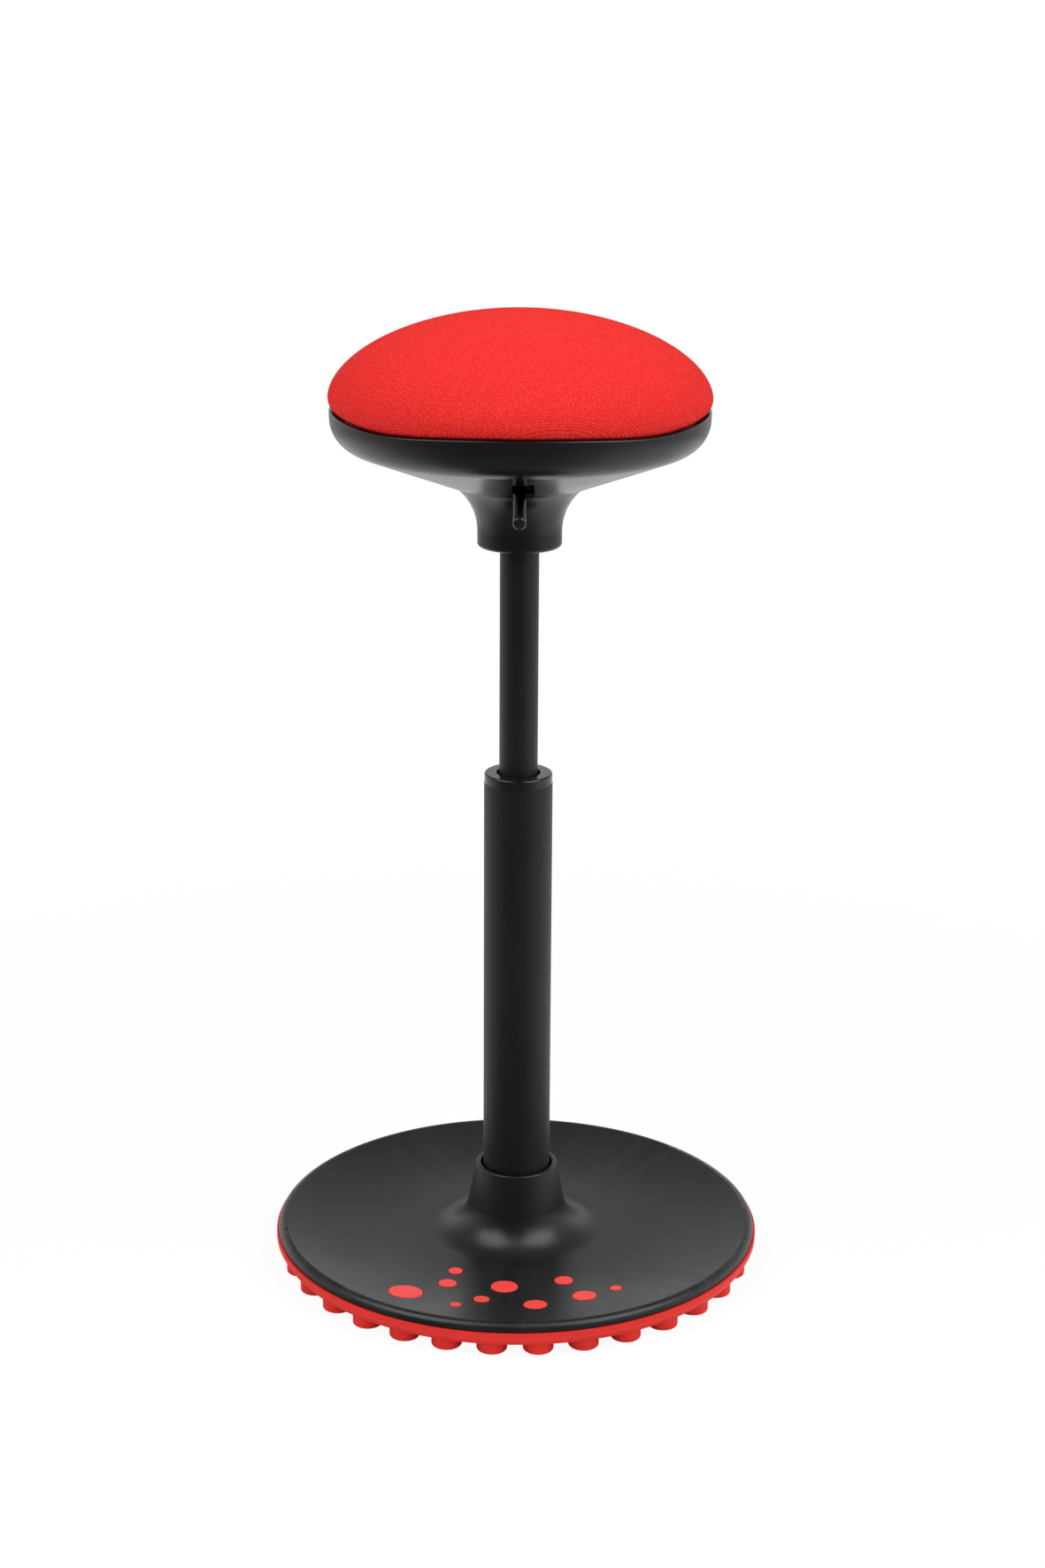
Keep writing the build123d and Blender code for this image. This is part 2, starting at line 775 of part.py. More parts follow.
with BuildPart() as release_button:
    with BuildSketch(Plane.XY.offset(button_top)):
        Circle(button_radius)
    extrude(amount=-button_length)
    chamfer(release_button.faces().sort_by(Axis.Z)[-1].edges(), length=button_bevel)
release_button.part.label = "release_button"


# Steel taper socket, bracket and plate under the seat
with BuildPart() as taper_socket:
    with BuildSketch(Plane.XZ):
        with BuildLine():
            Polyline(
                (cylinder_radius + fixed_gap, taper_bottom),
                (taper_socket_radius, taper_bottom),
                (taper_socket_radius, bracket_floor_top),
                (cylinder_radius - taper_drop + fixed_gap, bracket_floor_top),
                (cylinder_radius - taper_drop + fixed_gap, taper_top),
                close=True,
            )
        make_face()
    revolve(axis=Axis.Z)
taper_socket.part.label = "taper_socket"

with BuildPart() as lever_bracket:
    with BuildSketch(Plane.XY.offset(taper_top)):
        with Locations((0.0, (bracket_back - bracket_front) / 2)):
            Rectangle(2 * bracket_outside, bracket_front + bracket_back)
    extrude(amount=mount_bottom - taper_top)
    fillet(lever_bracket.edges().filter_by(Axis.Y).group_by(Axis.Z)[0], radius=bracket_bend)
    with BuildSketch(Plane.XY.offset(bracket_floor_top)):
        with Locations((0.0, (bracket_back - bracket_front) / 2)):
            Rectangle(2 * bracket_inside, bracket_front + bracket_back)
    extrude(amount=mount_bottom - bracket_floor_top, mode=Mode.SUBTRACT)
    with BuildSketch(Plane.XY.offset(taper_top)):
        Circle(taper_socket_radius + fixed_gap)
    extrude(amount=bracket_wall, mode=Mode.SUBTRACT)
    with BuildSketch(Plane.YZ.offset(-bracket_outside)):
        with Locations((-pivot_offset, pivot_height)):
            Circle(pin_diameter / 2 + fixed_gap)
    extrude(amount=2 * bracket_outside, mode=Mode.SUBTRACT)
lever_bracket.part.label = "lever_bracket"

with BuildPart() as mount_plate:
    with BuildSketch(Plane.XY.offset(mount_bottom)):
        RectangleRounded(mount_plate_size, mount_plate_size, mount_plate_corner)
        with GridLocations(mount_bolt_spacing, mount_bolt_spacing, 2, 2):
            Circle(mount_bolt_diameter / 2 + fixed_gap, mode=Mode.SUBTRACT)
    extrude(amount=mount_plate_thickness)
mount_plate.part.label = "mount_plate"

with BuildPart() as mount_bolts:
    with BuildSketch(Plane.XY.offset(mount_bottom)):
        with GridLocations(mount_bolt_spacing, mount_bolt_spacing, 2, 2):
            RegularPolygon(radius=mount_bolt_head / 2, side_count=hex_sides, major_radius=False)
    extrude(amount=-mount_bolt_head_height)
    with BuildSketch(Plane.XY.offset(mount_bottom)):
        with GridLocations(mount_bolt_spacing, mount_bolt_spacing, 2, 2):
            Circle(mount_bolt_diameter / 2)
    extrude(amount=board_top - tee_nut_flange_thickness - mount_bottom)
mount_bolts.part.label = "mount_bolts"

with BuildPart() as tee_nuts:
    with BuildSketch(Plane.XY.offset(board_top)):
        with GridLocations(mount_bolt_spacing, mount_bolt_spacing, 2, 2):
            Circle(tee_nut_flange / 2)
    extrude(amount=-tee_nut_flange_thickness)
    with BuildSketch(Plane.XY.offset(board_top)):
        with GridLocations(mount_bolt_spacing, mount_bolt_spacing, 2, 2):
            Circle(tee_nut_barrel / 2)
    extrude(amount=-board_thickness)
    with BuildSketch(Plane.XY.offset(board_top)):
        with GridLocations(mount_bolt_spacing, mount_bolt_spacing, 2, 2):
            Circle(mount_bolt_diameter / 2 + fixed_gap)
    extrude(amount=-board_thickness, mode=Mode.SUBTRACT)
tee_nuts.part.label = "tee_nuts"


# Plywood board that carries the cushion
with BuildPart() as seat_board:
    with BuildSketch(Plane.XY.offset(board_bottom)):
        Circle(board_radius)
    extrude(amount=board_thickness)
    with Locations((0.0, 0.0, board_top)):
        with GridLocations(mount_bolt_spacing, mount_bolt_spacing, 2, 2):
            CounterBoreHole(
                radius=tee_nut_barrel / 2 + fixed_gap,
                counter_bore_radius=tee_nut_flange / 2 + fixed_gap,
                counter_bore_depth=tee_nut_flange_thickness,
                depth=board_thickness,
            )
        with PolarLocations(shell_screw_ring, shell_screw_count, start_angle=shell_screw_start):
            CounterBoreHole(
                radius=shell_screw_diameter / 2 + fixed_gap,
                counter_bore_radius=shell_screw_head / 2 + fixed_gap,
                counter_bore_depth=shell_screw_head_height,
                depth=board_thickness,
            )
seat_board.part.label = "seat_board"

with BuildPart() as shell_screws:
    with BuildSketch(Plane.XY.offset(board_top)):
        with PolarLocations(shell_screw_ring, shell_screw_count, start_angle=shell_screw_start):
            Circle(shell_screw_head / 2)
    extrude(amount=-shell_screw_head_height)
    with BuildSketch(Plane.XY.offset(board_top)):
        with PolarLocations(shell_screw_ring, shell_screw_count, start_angle=shell_screw_start):
            Circle(shell_screw_diameter / 2)
    extrude(amount=-board_thickness - shell_screw_bite)
shell_screws.part.label = "shell_screws"


# Hollow of the seat shell, with its screw bosses left standing in it
with BuildPart() as shell_hollow:
    with BuildSketch(Plane.XZ) as hollow_section:
        with BuildLine():
            Polyline(
                (0.0, neck_bottom + shell_floor),
                (neck_radius - shell_wall, neck_bottom + shell_floor),
                (neck_radius - shell_wall, flare_start),
            )
            ThreePointArc(
                (neck_radius - shell_wall, flare_start),
                flare_point(shell_wall, flare_middle),
                flare_point(shell_wall, flare_reach),
            )
            Polyline(
                flare_point(shell_wall, flare_reach),
                (
                    crease_radius - shell_wall * sin(radians(underside_angle)),
                    crease_height + shell_wall * cos(radians(underside_angle)),
                ),
                shell_corner(shell_wall),
                (rim_radius - shell_wall / cos(radians(rim_taper_angle)), rim_top),
                (0.0, rim_top),
                (0.0, neck_bottom + shell_floor),
            )
        make_face()
        fillet(
            hollow_section.vertices().sort_by_distance(shell_corner(shell_wall))[0],
            radius=inner_corner,
        )
    revolve(axis=Axis.Z)
    with BuildSketch(Plane.XY.offset(board_bottom)):
        with PolarLocations(shell_screw_ring, shell_screw_count, start_angle=shell_screw_start):
            Circle(shell_screw_diameter / 2 + shell_boss_wall)
    extrude(amount=neck_bottom - board_bottom, mode=Mode.SUBTRACT)


# Black seat shell: neck, flare, underside and rim in one moulding
with BuildPart() as seat_shell:
    with BuildSketch(Plane.XZ) as shell_section:
        with BuildLine():
            Polyline((0.0, neck_bottom), (neck_radius, neck_bottom), (neck_radius, flare_start))
            ThreePointArc(
                (neck_radius, flare_start),
                flare_point(0.0, flare_middle),
                flare_point(0.0, flare_reach),
            )
            Polyline(
                flare_point(0.0, flare_reach),
                shell_corner(0.0),
                (rim_radius, rim_top),
                (0.0, rim_top),
                (0.0, neck_bottom),
            )
        make_face()
        fillet(
            shell_section.vertices().sort_by_distance(shell_corner(0.0))[0],
            radius=rim_corner,
        )
        fillet(
            shell_section.vertices().sort_by_distance((neck_radius, neck_bottom))[0],
            radius=neck_edge,
        )
    revolve(axis=Axis.Z)
    add(shell_hollow.part, mode=Mode.SUBTRACT)
    for angle in (rim_dip_start, rim_dip_start + 90.0):
        across = Plane(
            origin=(0.0, 0.0, 0.0),
            x_dir=(-sin(radians(angle)), cos(radians(angle)), 0.0),
            z_dir=(cos(radians(angle)), sin(radians(angle)), 0.0),
        )
        with BuildSketch(across):
            with BuildLine():
                Spline(
                    (-rim_dip_side, rim_top),
                    (0.0, rim_dip_floor),
                    (rim_dip_side, rim_top),
                    tangents=((1.0, 0.0), (1.0, 0.0)),
                )
                Polyline(
                    (rim_dip_side, rim_top),
                    (rim_dip_side, rim_top + rim_dip),
                    (-rim_dip_side, rim_top + rim_dip),
                    (-rim_dip_side, rim_top),
                )
            make_face()
        extrude(amount=rim_radius, both=True, mode=Mode.SUBTRACT)
    rim_edges = seat_shell.edges().filter_by_position(Axis.Z, rim_dip_floor, rim_top)
    fillet(rim_edges.filter_by(lambda edge: edge.length > 2 * shell_wall), radius=rim_edge)
    with BuildSketch(Plane.XY.offset(neck_bottom)):
        Circle(cylinder_radius + neck_hole_gap)
    extrude(amount=shell_floor, mode=Mode.SUBTRACT)
    with BuildSketch(Plane.XY.offset(flare_start)):
        with Locations(((slot_right - slot_left) / 2, -(slot_start + slot_end) / 2)):
            Rectangle(slot_left + slot_right, slot_end - slot_start)
    extrude(amount=board_bottom - flare_start, mode=Mode.SUBTRACT)
    with BuildSketch(Plane.XY.offset(board_bottom)):
        with PolarLocations(shell_screw_ring, shell_screw_count, start_angle=shell_screw_start):
            Circle(shell_screw_diameter / 2 + fixed_gap)
    extrude(amount=-shell_screw_bite - free_gap, mode=Mode.SUBTRACT)
seat_shell.part.label = "seat_shell"


# Release lever on its pin
with BuildPart() as lever_rod:
    with BuildSketch(lever_plane):
        Circle(lever_radius)
    extrude(amount=(lever_reach + lever_tail) / cos(radians(lever_slope)))
    fillet(lever_rod.edges().filter_by(GeomType.CIRCLE), radius=lever_edge)
    with BuildSketch(Plane.YZ.offset(-lever_diameter)):
        with Locations((-pivot_offset, pivot_height)):
            Circle(pin_diameter / 2 + running_gap)
    extrude(amount=2 * lever_diameter, mode=Mode.SUBTRACT)
lever_rod.part.label = "lever_rod"

with BuildPart() as pivot_pin:
    with BuildSketch(Plane.YZ.offset(-bracket_outside)):
        with Locations((-pivot_offset, pivot_height)):
            Circle(pin_head / 2)
    extrude(amount=-pin_head_height)
    with BuildSketch(Plane.YZ.offset(-bracket_outside)):
        with Locations((-pivot_offset, pivot_height)):
            Circle(pin_diameter / 2)
    extrude(amount=2 * bracket_outside + pin_tail)
pivot_pin.part.label = "pivot_pin"

with BuildPart() as pin_clip:
    with BuildSketch(Plane.YZ.offset(bracket_outside)):
        with Locations((-pivot_offset, pivot_height)):
            Circle(pin_head / 2)
            Circle(pin_diameter / 2 + fixed_gap, mode=Mode.SUBTRACT)
    extrude(amount=pin_head_height)
pin_clip.part.label = "pin_clip"


# Cushion: foam dome, and the cover drawn over it and hemmed under the board
with BuildPart() as seat_foam:
    with BuildSketch(Plane.XZ):
        add(cushion_section(cover_thickness + fixed_gap, board_radius, board_top))
        make_face()
    revolve(axis=Axis.Z)
seat_foam.part.label = "seat_foam"

with BuildPart() as seat_cover:
    with BuildSketch(Plane.XZ):
        add(cushion_section(0.0, cover_foot_radius, board_bottom - cover_thickness))
        make_face()
    revolve(axis=Axis.Z)
    with BuildSketch(Plane.XZ):
        add(cushion_section(cover_thickness, board_radius + fixed_gap, board_bottom))
        make_face()
    revolve(axis=Axis.Z, mode=Mode.SUBTRACT)
    with BuildSketch(Plane.XY.offset(board_bottom)):
        Circle(board_radius - cover_hem)
    extrude(amount=-cover_thickness, mode=Mode.SUBTRACT)
seat_cover.part.label = "seat_cover"


os.makedirs("parts", exist_ok=True)
for piece in (
    rubber_sole, ballast_plate, column_socket, base_dish, grip_dots, sole_screws,
    outer_tube, top_cap, guide_bush, tube_end_disc, lower_race, bearing_balls, ball_cage,
    upper_race, piston_rod, retaining_clip, buffer_ring, piston, piston_nut,
    gas_cylinder, rod_guide, release_button, taper_socket, lever_bracket, mount_plate,
    mount_bolts, tee_nuts, seat_board, shell_screws, seat_shell,
    lever_rod, pivot_pin, pin_clip, seat_foam, seat_cover,
):
    export_step(piece.part, f"parts/{piece.part.label}.step")
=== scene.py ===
"""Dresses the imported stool: a woven cushion, moulded and painted finishes, and a pale studio.

Metres, +Z up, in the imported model's own frame. The stool stands on the floor at z = 0, and
its release lever points along -Y, towards the camera.
"""

import logging
import math
from dataclasses import dataclass, field
from enum import Enum
from typing import Optional, Sequence, Union

import bmesh
import bpy
from mathutils import Matrix, Vector


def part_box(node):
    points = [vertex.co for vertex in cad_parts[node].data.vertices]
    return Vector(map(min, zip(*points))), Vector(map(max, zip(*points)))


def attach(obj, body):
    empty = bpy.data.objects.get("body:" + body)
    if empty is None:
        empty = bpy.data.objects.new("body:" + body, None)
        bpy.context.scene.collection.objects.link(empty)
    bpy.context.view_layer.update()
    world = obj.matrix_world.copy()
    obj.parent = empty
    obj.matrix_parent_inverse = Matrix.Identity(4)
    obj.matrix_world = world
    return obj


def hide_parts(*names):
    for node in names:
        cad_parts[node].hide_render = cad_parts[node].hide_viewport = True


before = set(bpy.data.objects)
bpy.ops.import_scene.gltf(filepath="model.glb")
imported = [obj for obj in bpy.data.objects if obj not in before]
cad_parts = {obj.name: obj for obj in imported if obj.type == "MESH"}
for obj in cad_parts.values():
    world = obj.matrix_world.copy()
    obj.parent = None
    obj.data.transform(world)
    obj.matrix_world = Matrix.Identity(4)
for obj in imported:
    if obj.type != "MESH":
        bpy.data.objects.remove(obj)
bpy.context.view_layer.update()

LOG = logging.getLogger("stool")
MM = 0.001
PHOTO_WIDTH = 1181
PHOTO_HEIGHT = 1772
WEAVE_UV = "weave"
WHITE = (1.0, 1.0, 1.0)
NOISE_MIDDLE = (0.5, 0.5, 0.5)
# Share of a speck's radius that is solid, before its edge fades.
SPECK_CORE = 0.4
# Numbers of the sockets that a Mix node uses for colours.
MIX_FACTOR = 0
MIX_FIRST = 6
MIX_SECOND = 7
MIX_RESULT = 2

Colour = tuple[float, float, float]
Point = tuple[float, float, float]
Operand = Union[float, "Signal"]
# An edge holds the low and high values of a ramp from 0 to 1.
Edge = tuple[float, float]
# A band holds the low and high values of a ramp, and its results at the two.
Band = tuple[float, float, float, float]


class Body(Enum):
    """The rigid bodies that new pieces ride on."""

    SEAT = "seat"


class Mark(Enum):
    """Marks that a black moulding carries."""

    PLAIN = "plain"
    WORN = "worn"


def shade(colour: Colour, factor: float) -> Colour:
    """A colour with every channel times a number."""
    return tuple(channel * factor for channel in colour)


class Signal:
    """A shader socket that takes part in Python expressions."""

    def __init__(self, graph: "Graph", socket: bpy.types.NodeSocket) -> None:
        """Wraps one output socket of a graph's node."""
        self.graph = graph
        self.socket = socket

    def __add__(self, other: Operand) -> "Signal":
        """Sum of two values."""
        return self.graph.math("ADD", self, other)

    def __radd__(self, other: Operand) -> "Signal":
        """Sum with a plain number first."""
        return self.graph.math("ADD", other, self)

    def __sub__(self, other: Operand) -> "Signal":
        """Difference of two values."""
        return self.graph.math("SUBTRACT", self, other)

    def __rsub__(self, other: Operand) -> "Signal":
        """Difference with a plain number first."""
        return self.graph.math("SUBTRACT", other, self)

    def __mul__(self, other: Operand) -> "Signal":
        """Product of two values."""
        return self.graph.math("MULTIPLY", self, other)

    def __truediv__(self, other: Operand) -> "Signal":
        """Quotient of two values."""
        return self.graph.math("DIVIDE", self, other)

    def __pow__(self, other: Operand) -> "Signal":
        """Power of a value."""
        return self.graph.math("POWER", self, other)

    def __abs__(self) -> "Signal":
        """Size of a value without its sign."""
        return self.graph.math("ABSOLUTE", self)

    def sine(self) -> "Signal":
        """Sine of the value in radians."""
        return self.graph.math("SINE", self)

    def larger(self, other: Operand) -> "Signal":
        """The larger of two values."""
        return self.graph.math("MAXIMUM", self, other)

    def ramp(self, low: float, high: float, start: float = 0.0, end: float = 1.0) -> "Signal":
        """Eases the value from start to end as it goes from low to high.

        Args:
            low: Value at and below which the result is start.
            high: Value at and above which the result is end.
            start: Result at low.
            end: Result at high.

        Returns:
            The eased value.
        """
        sockets = {"Value": self, "From Min": low, "From Max": high, "To Min": start, "To Max": end}
        settings = {"interpolation_type": "SMOOTHSTEP"}
        return self.graph.node("ShaderNodeMapRange", settings, sockets)


class Graph:
    """A node tree that is written with Python expressions."""

    def __init__(self, tree: bpy.types.NodeTree) -> None:
        """Empties the tree and keeps it."""
        self.tree = tree
        self.tree.nodes.clear()

    def feed(self, socket: bpy.types.NodeSocket, value: object) -> None:
        """Links a signal to a socket, or sets the socket to a plain value.

        Args:
            socket: The input socket.
            value: A signal, a number, or a colour or vector as a tuple.
        """
        if isinstance(value, Signal):
            self.tree.links.new(value.socket, socket)
        elif isinstance(value, tuple) and socket.type == "RGBA":
            socket.default_value = (*value, 1.0)
        else:
            socket.default_value = value

    def node(
        self,
        kind: str,
        settings: Optional[dict] = None,
        sockets: Optional[dict] = None,
        out: Union[int, str] = 0,
    ) -> Signal:
        """Adds a node.

        Args:
            kind: The node's type.
            settings: Its own settings, which are set first.
            sockets: Values or links for its inputs, by name or by number.
            out: The output that is wanted, by name or by number.

        Returns:
            The wanted output.
        """
        made = self.tree.nodes.new(kind)
        for key, value in (settings or {}).items():
            setattr(made, key, value)
        for key, value in (sockets or {}).items():
            self.feed(made.inputs[key], value)
        return Signal(self, made.outputs[out])

    def end(self, kind: str, shader: Signal) -> None:
        """Leads a shader to a new output node of that type."""
        output = self.tree.nodes.new(kind)
        self.feed(output.inputs["Surface"], shader)

    def math(self, operation: str, *operands: Operand) -> Signal:
        """Adds one Math node over plain numbers and signals."""
        sockets = dict(enumerate(operands))
        return self.node("ShaderNodeMath", {"operation": operation}, sockets)

    def parts(self, vector: Signal) -> tuple[Signal, Signal, Signal]:
        """Splits a vector.

        Args:
            vector: The vector.

        Returns:
            Its X, Y and Z.
        """
        first = self.node("ShaderNodeSeparateXYZ", None, {"Vector": vector})
        outputs = first.socket.node.outputs
        return first, Signal(self, outputs["Y"]), Signal(self, outputs["Z"])

    def vector(self, x: Operand, y: Operand, z: Operand) -> Signal:
        """Joins three values into a vector."""
        return self.node("ShaderNodeCombineXYZ", None, {"X": x, "Y": y, "Z": z})

    def reach(self, x: Signal, y: Signal) -> Signal:
        """Distance of a point from the Z axis."""
        return (x * x + y * y) ** 0.5

    def move(self, operation: str, first: Signal, second: object) -> Signal:
        """Adds one Vector Math node over two vectors."""
        return self.node("ShaderNodeVectorMath", {"operation": operation}, {0: first, 1: second})

    def scaled(self, vector: Signal, factor: Operand) -> Signal:
        """A vector times a number."""
        settings = {"operation": "SCALE"}
        return self.node("ShaderNodeVectorMath", settings, {0: vector, "Scale": factor})

    def colour(self, factor: Operand, first: object, second: object) -> Signal:
        """Mixes two colours, with the factor as the share of the second."""
        sockets = {MIX_FACTOR: factor, MIX_FIRST: first, MIX_SECOND: second}
        return self.node("ShaderNodeMix", {"data_type": "RGBA"}, sockets, MIX_RESULT)

    def noise(self, vector: Signal, size: float, detail: float = 2.0, rough: float = 0.5) -> Signal:
        """Soft noise from 0 to 1, in patches of that size, with finer layers of that strength."""
        sockets = {"Vector": vector, "Scale": 1.0 / size, "Detail": detail, "Roughness": rough}
        return self.node("ShaderNodeTexNoise", None, sockets)

    def specks(self, vector: Signal, spacing: float, share: float) -> Signal:
        """Small round specks, one in each cell of a scatter.

        Args:
            vector: Where it is read.
            spacing: Distance from one speck to the next.
            share: Radius of a speck as a share of the spacing.

        Returns:
            1 in a speck and 0 between them.
        """
        sockets = {"Vector": vector, "Scale": 1.0 / spacing}
        away = self.node("ShaderNodeTexVoronoi", None, sockets, "Distance")
        return away.ramp(share * SPECK_CORE, share, 1.0, 0.0)


class Surface(Graph):
    """The node tree of one material, with a Principled shader at its end."""

    def __init__(self, name: str) -> None:
        """Makes an empty material.

        Args:
            name: The material's name.
        """
        self.material = bpy.data.materials.new(name)
        self.material.use_nodes = True
        super().__init__(self.material.node_tree)
        shader = self.node("ShaderNodeBsdfPrincipled")
        self.inputs = shader.socket.node.inputs
        self.end("ShaderNodeOutputMaterial", shader)

    def place(self) -> Signal:
        """Where a point is on the stool, in metres."""
        return self.node("ShaderNodeTexCoord", None, None, "Object")

    def bump(self, height: Signal, depth: float, strength: float = 0.5) -> Signal:
        """A normal that follows a height from 0 to 1, which is that depth in metres."""
        sockets = {"Height": height, "Distance": depth, "Strength": strength}
        return self.node("ShaderNodeBump", None, sockets)

    def finish(self, **inputs: object) -> bpy.types.Material:
        """Sets the Principled shader's sockets.

        Args:
            **inputs: Values and signals by socket name, with underscores for spaces.

        Returns:
            The finished material.
        """
        for key, value in inputs.items():
            self.feed(self.inputs[key.replace("_", " ")], value)
        return self.material


@dataclass(frozen=True)
class WovenCloth:
    """Plain-woven upholstery cloth that follows the cushion's own weave map."""

    name: str = "red_weave"
    colour: Colour = (0.92, 0.046, 0.040)
    weft_colour: Colour = (0.74, 0.012, 0.010)
    # Painted shade: the colour of the low gaps between the threads, darkened as if shaded.
    gap_shade_colour: Colour = (0.30, 0.002, 0.002)
    # Painted highlight: the pale glint colour on the crowns of the threads.
    crown_highlight_colour: Colour = (0.95, 0.115, 0.105)
    lint_colour: Colour = (0.90, 0.30, 0.28)
    thread: float = 1.12 * MM
    depth: float = 0.22 * MM
    crossing: float = 0.12
    edge_power: float = 0.7
    length_power: float = 0.35
    weft_height: float = 0.85
    drift: float = 0.9 * MM
    drift_size: float = 12.0 * MM
    slub_size: float = 6.0 * MM
    slub_stretch: float = 0.2
    spot_size: float = 1.9 * MM
    lint_spacing: float = 26.0 * MM
    lint_share: float = 0.012
    lint_strength: float = 0.6
    fuzz_size: float = 0.25 * MM
    fuzz_share: float = 0.15
    # Heights over which the gaps take the painted shade.
    gap_shade_band: Band = (0.05, 0.6, 0.0, 1.0)
    slub_band: Band = (0.35, 0.75, 0.0, 0.16)
    # Spots of painted highlight on the thread crowns.
    highlight_spot_band: Band = (0.5, 0.70, 0.0, 0.42)
    dark_band: Band = (0.30, 0.5, 0.45, 0.0)
    rough_band: Band = (0.0, 1.0, 0.95, 0.82)
    specular: float = 0.1

    def drifted(self, made: Surface, flat: Signal) -> Signal:
        """Lets the threads wander a little.

        Args:
            made: The material in work.
            flat: The weave map.

        Returns:
            The weave map with its wander.
        """
        sockets = {"Vector": flat, "Scale": 1.0 / self.drift_size, "Detail": 1.0}
        wander = made.node("ShaderNodeTexNoise", None, sockets, "Color")
        wander = made.move("SUBTRACT", wander, NOISE_MIDDLE)
        return made.move("ADD", flat, made.scaled(wander, self.drift))

    def relief(self, made: Surface, flat: Signal) -> tuple[Signal, Signal]:
        """Lays warp over weft and weft over warp by turns.

        Args:
            made: The material in work.
            flat: The weave map.

        Returns:
            1 where the warp is on top, and the height of the thread on top.
        """
        across, along, _ = made.parts(self.drifted(made, flat))
        turn = math.pi / self.thread
        warp_wave = (across * turn).sine()
        weft_wave = (along * turn).sine()
        over = (warp_wave * weft_wave).ramp(-self.crossing, self.crossing)
        warp = abs(warp_wave) ** self.edge_power * abs(weft_wave) ** self.length_power
        weft = abs(warp_wave) ** self.length_power * abs(weft_wave) ** self.edge_power
        return over, over * warp + (1.0 - over) * weft * self.weft_height

    def colour_with_painted_light(self, made: Surface, flat: Signal, over: Signal, height: Signal) -> Signal:
        """Colours the threads, with slubs, darker spots and a little lint, with painted shade in the gaps
        and spots of painted highlight on the crowns.

        Args:
            made: The material in work.
            flat: The weave map.
            over: 1 where the warp is on top.
            height: Height of the thread on top.

        Returns:
            The cloth's colour.
        """
        stretched = made.move("MULTIPLY", flat, (1.0, self.slub_stretch, 1.0))
        slub = made.noise(stretched, self.slub_size, detail=3.0)
        spot = made.noise(flat, self.spot_size, detail=1.0)
        lint = made.specks(flat, self.lint_spacing, self.lint_share)
        thread = made.colour(over, self.weft_colour, self.colour)
        # Painted shade: the low points between the threads take the dark gap colour.
        thread = made.colour(height.ramp(*self.gap_shade_band), self.gap_shade_colour, thread)
        thread = made.colour(slub.ramp(*self.slub_band), thread, self.colour)
        # Painted highlight: in spots, the thread crowns turn pale, as glints.
        thread = made.colour(spot.ramp(*self.highlight_spot_band) * height, thread, self.crown_highlight_colour)
        thread = made.colour(spot.ramp(*self.dark_band), thread, self.weft_colour)
        return made.colour(lint * self.lint_strength, thread, self.lint_colour)

    def build(self) -> bpy.types.Material:
        """Makes the cloth's material.

        Returns:
            The material.
        """
        made = Surface(self.name)
        flat = made.node("ShaderNodeUVMap", {"uv_map": WEAVE_UV})
        over, height = self.relief(made, flat)
        fuzz = made.noise(flat, self.fuzz_size)
        pile = height * (1.0 - self.fuzz_share) + fuzz * self.fuzz_share
        return made.finish(
            Base_Color=self.colour_with_painted_light(made, flat, over, height),
            Roughness=height.ramp(*self.rough_band),
            Specular_IOR_Level=self.specular,
            Normal=made.bump(pile, self.depth, strength=1.0),
        )


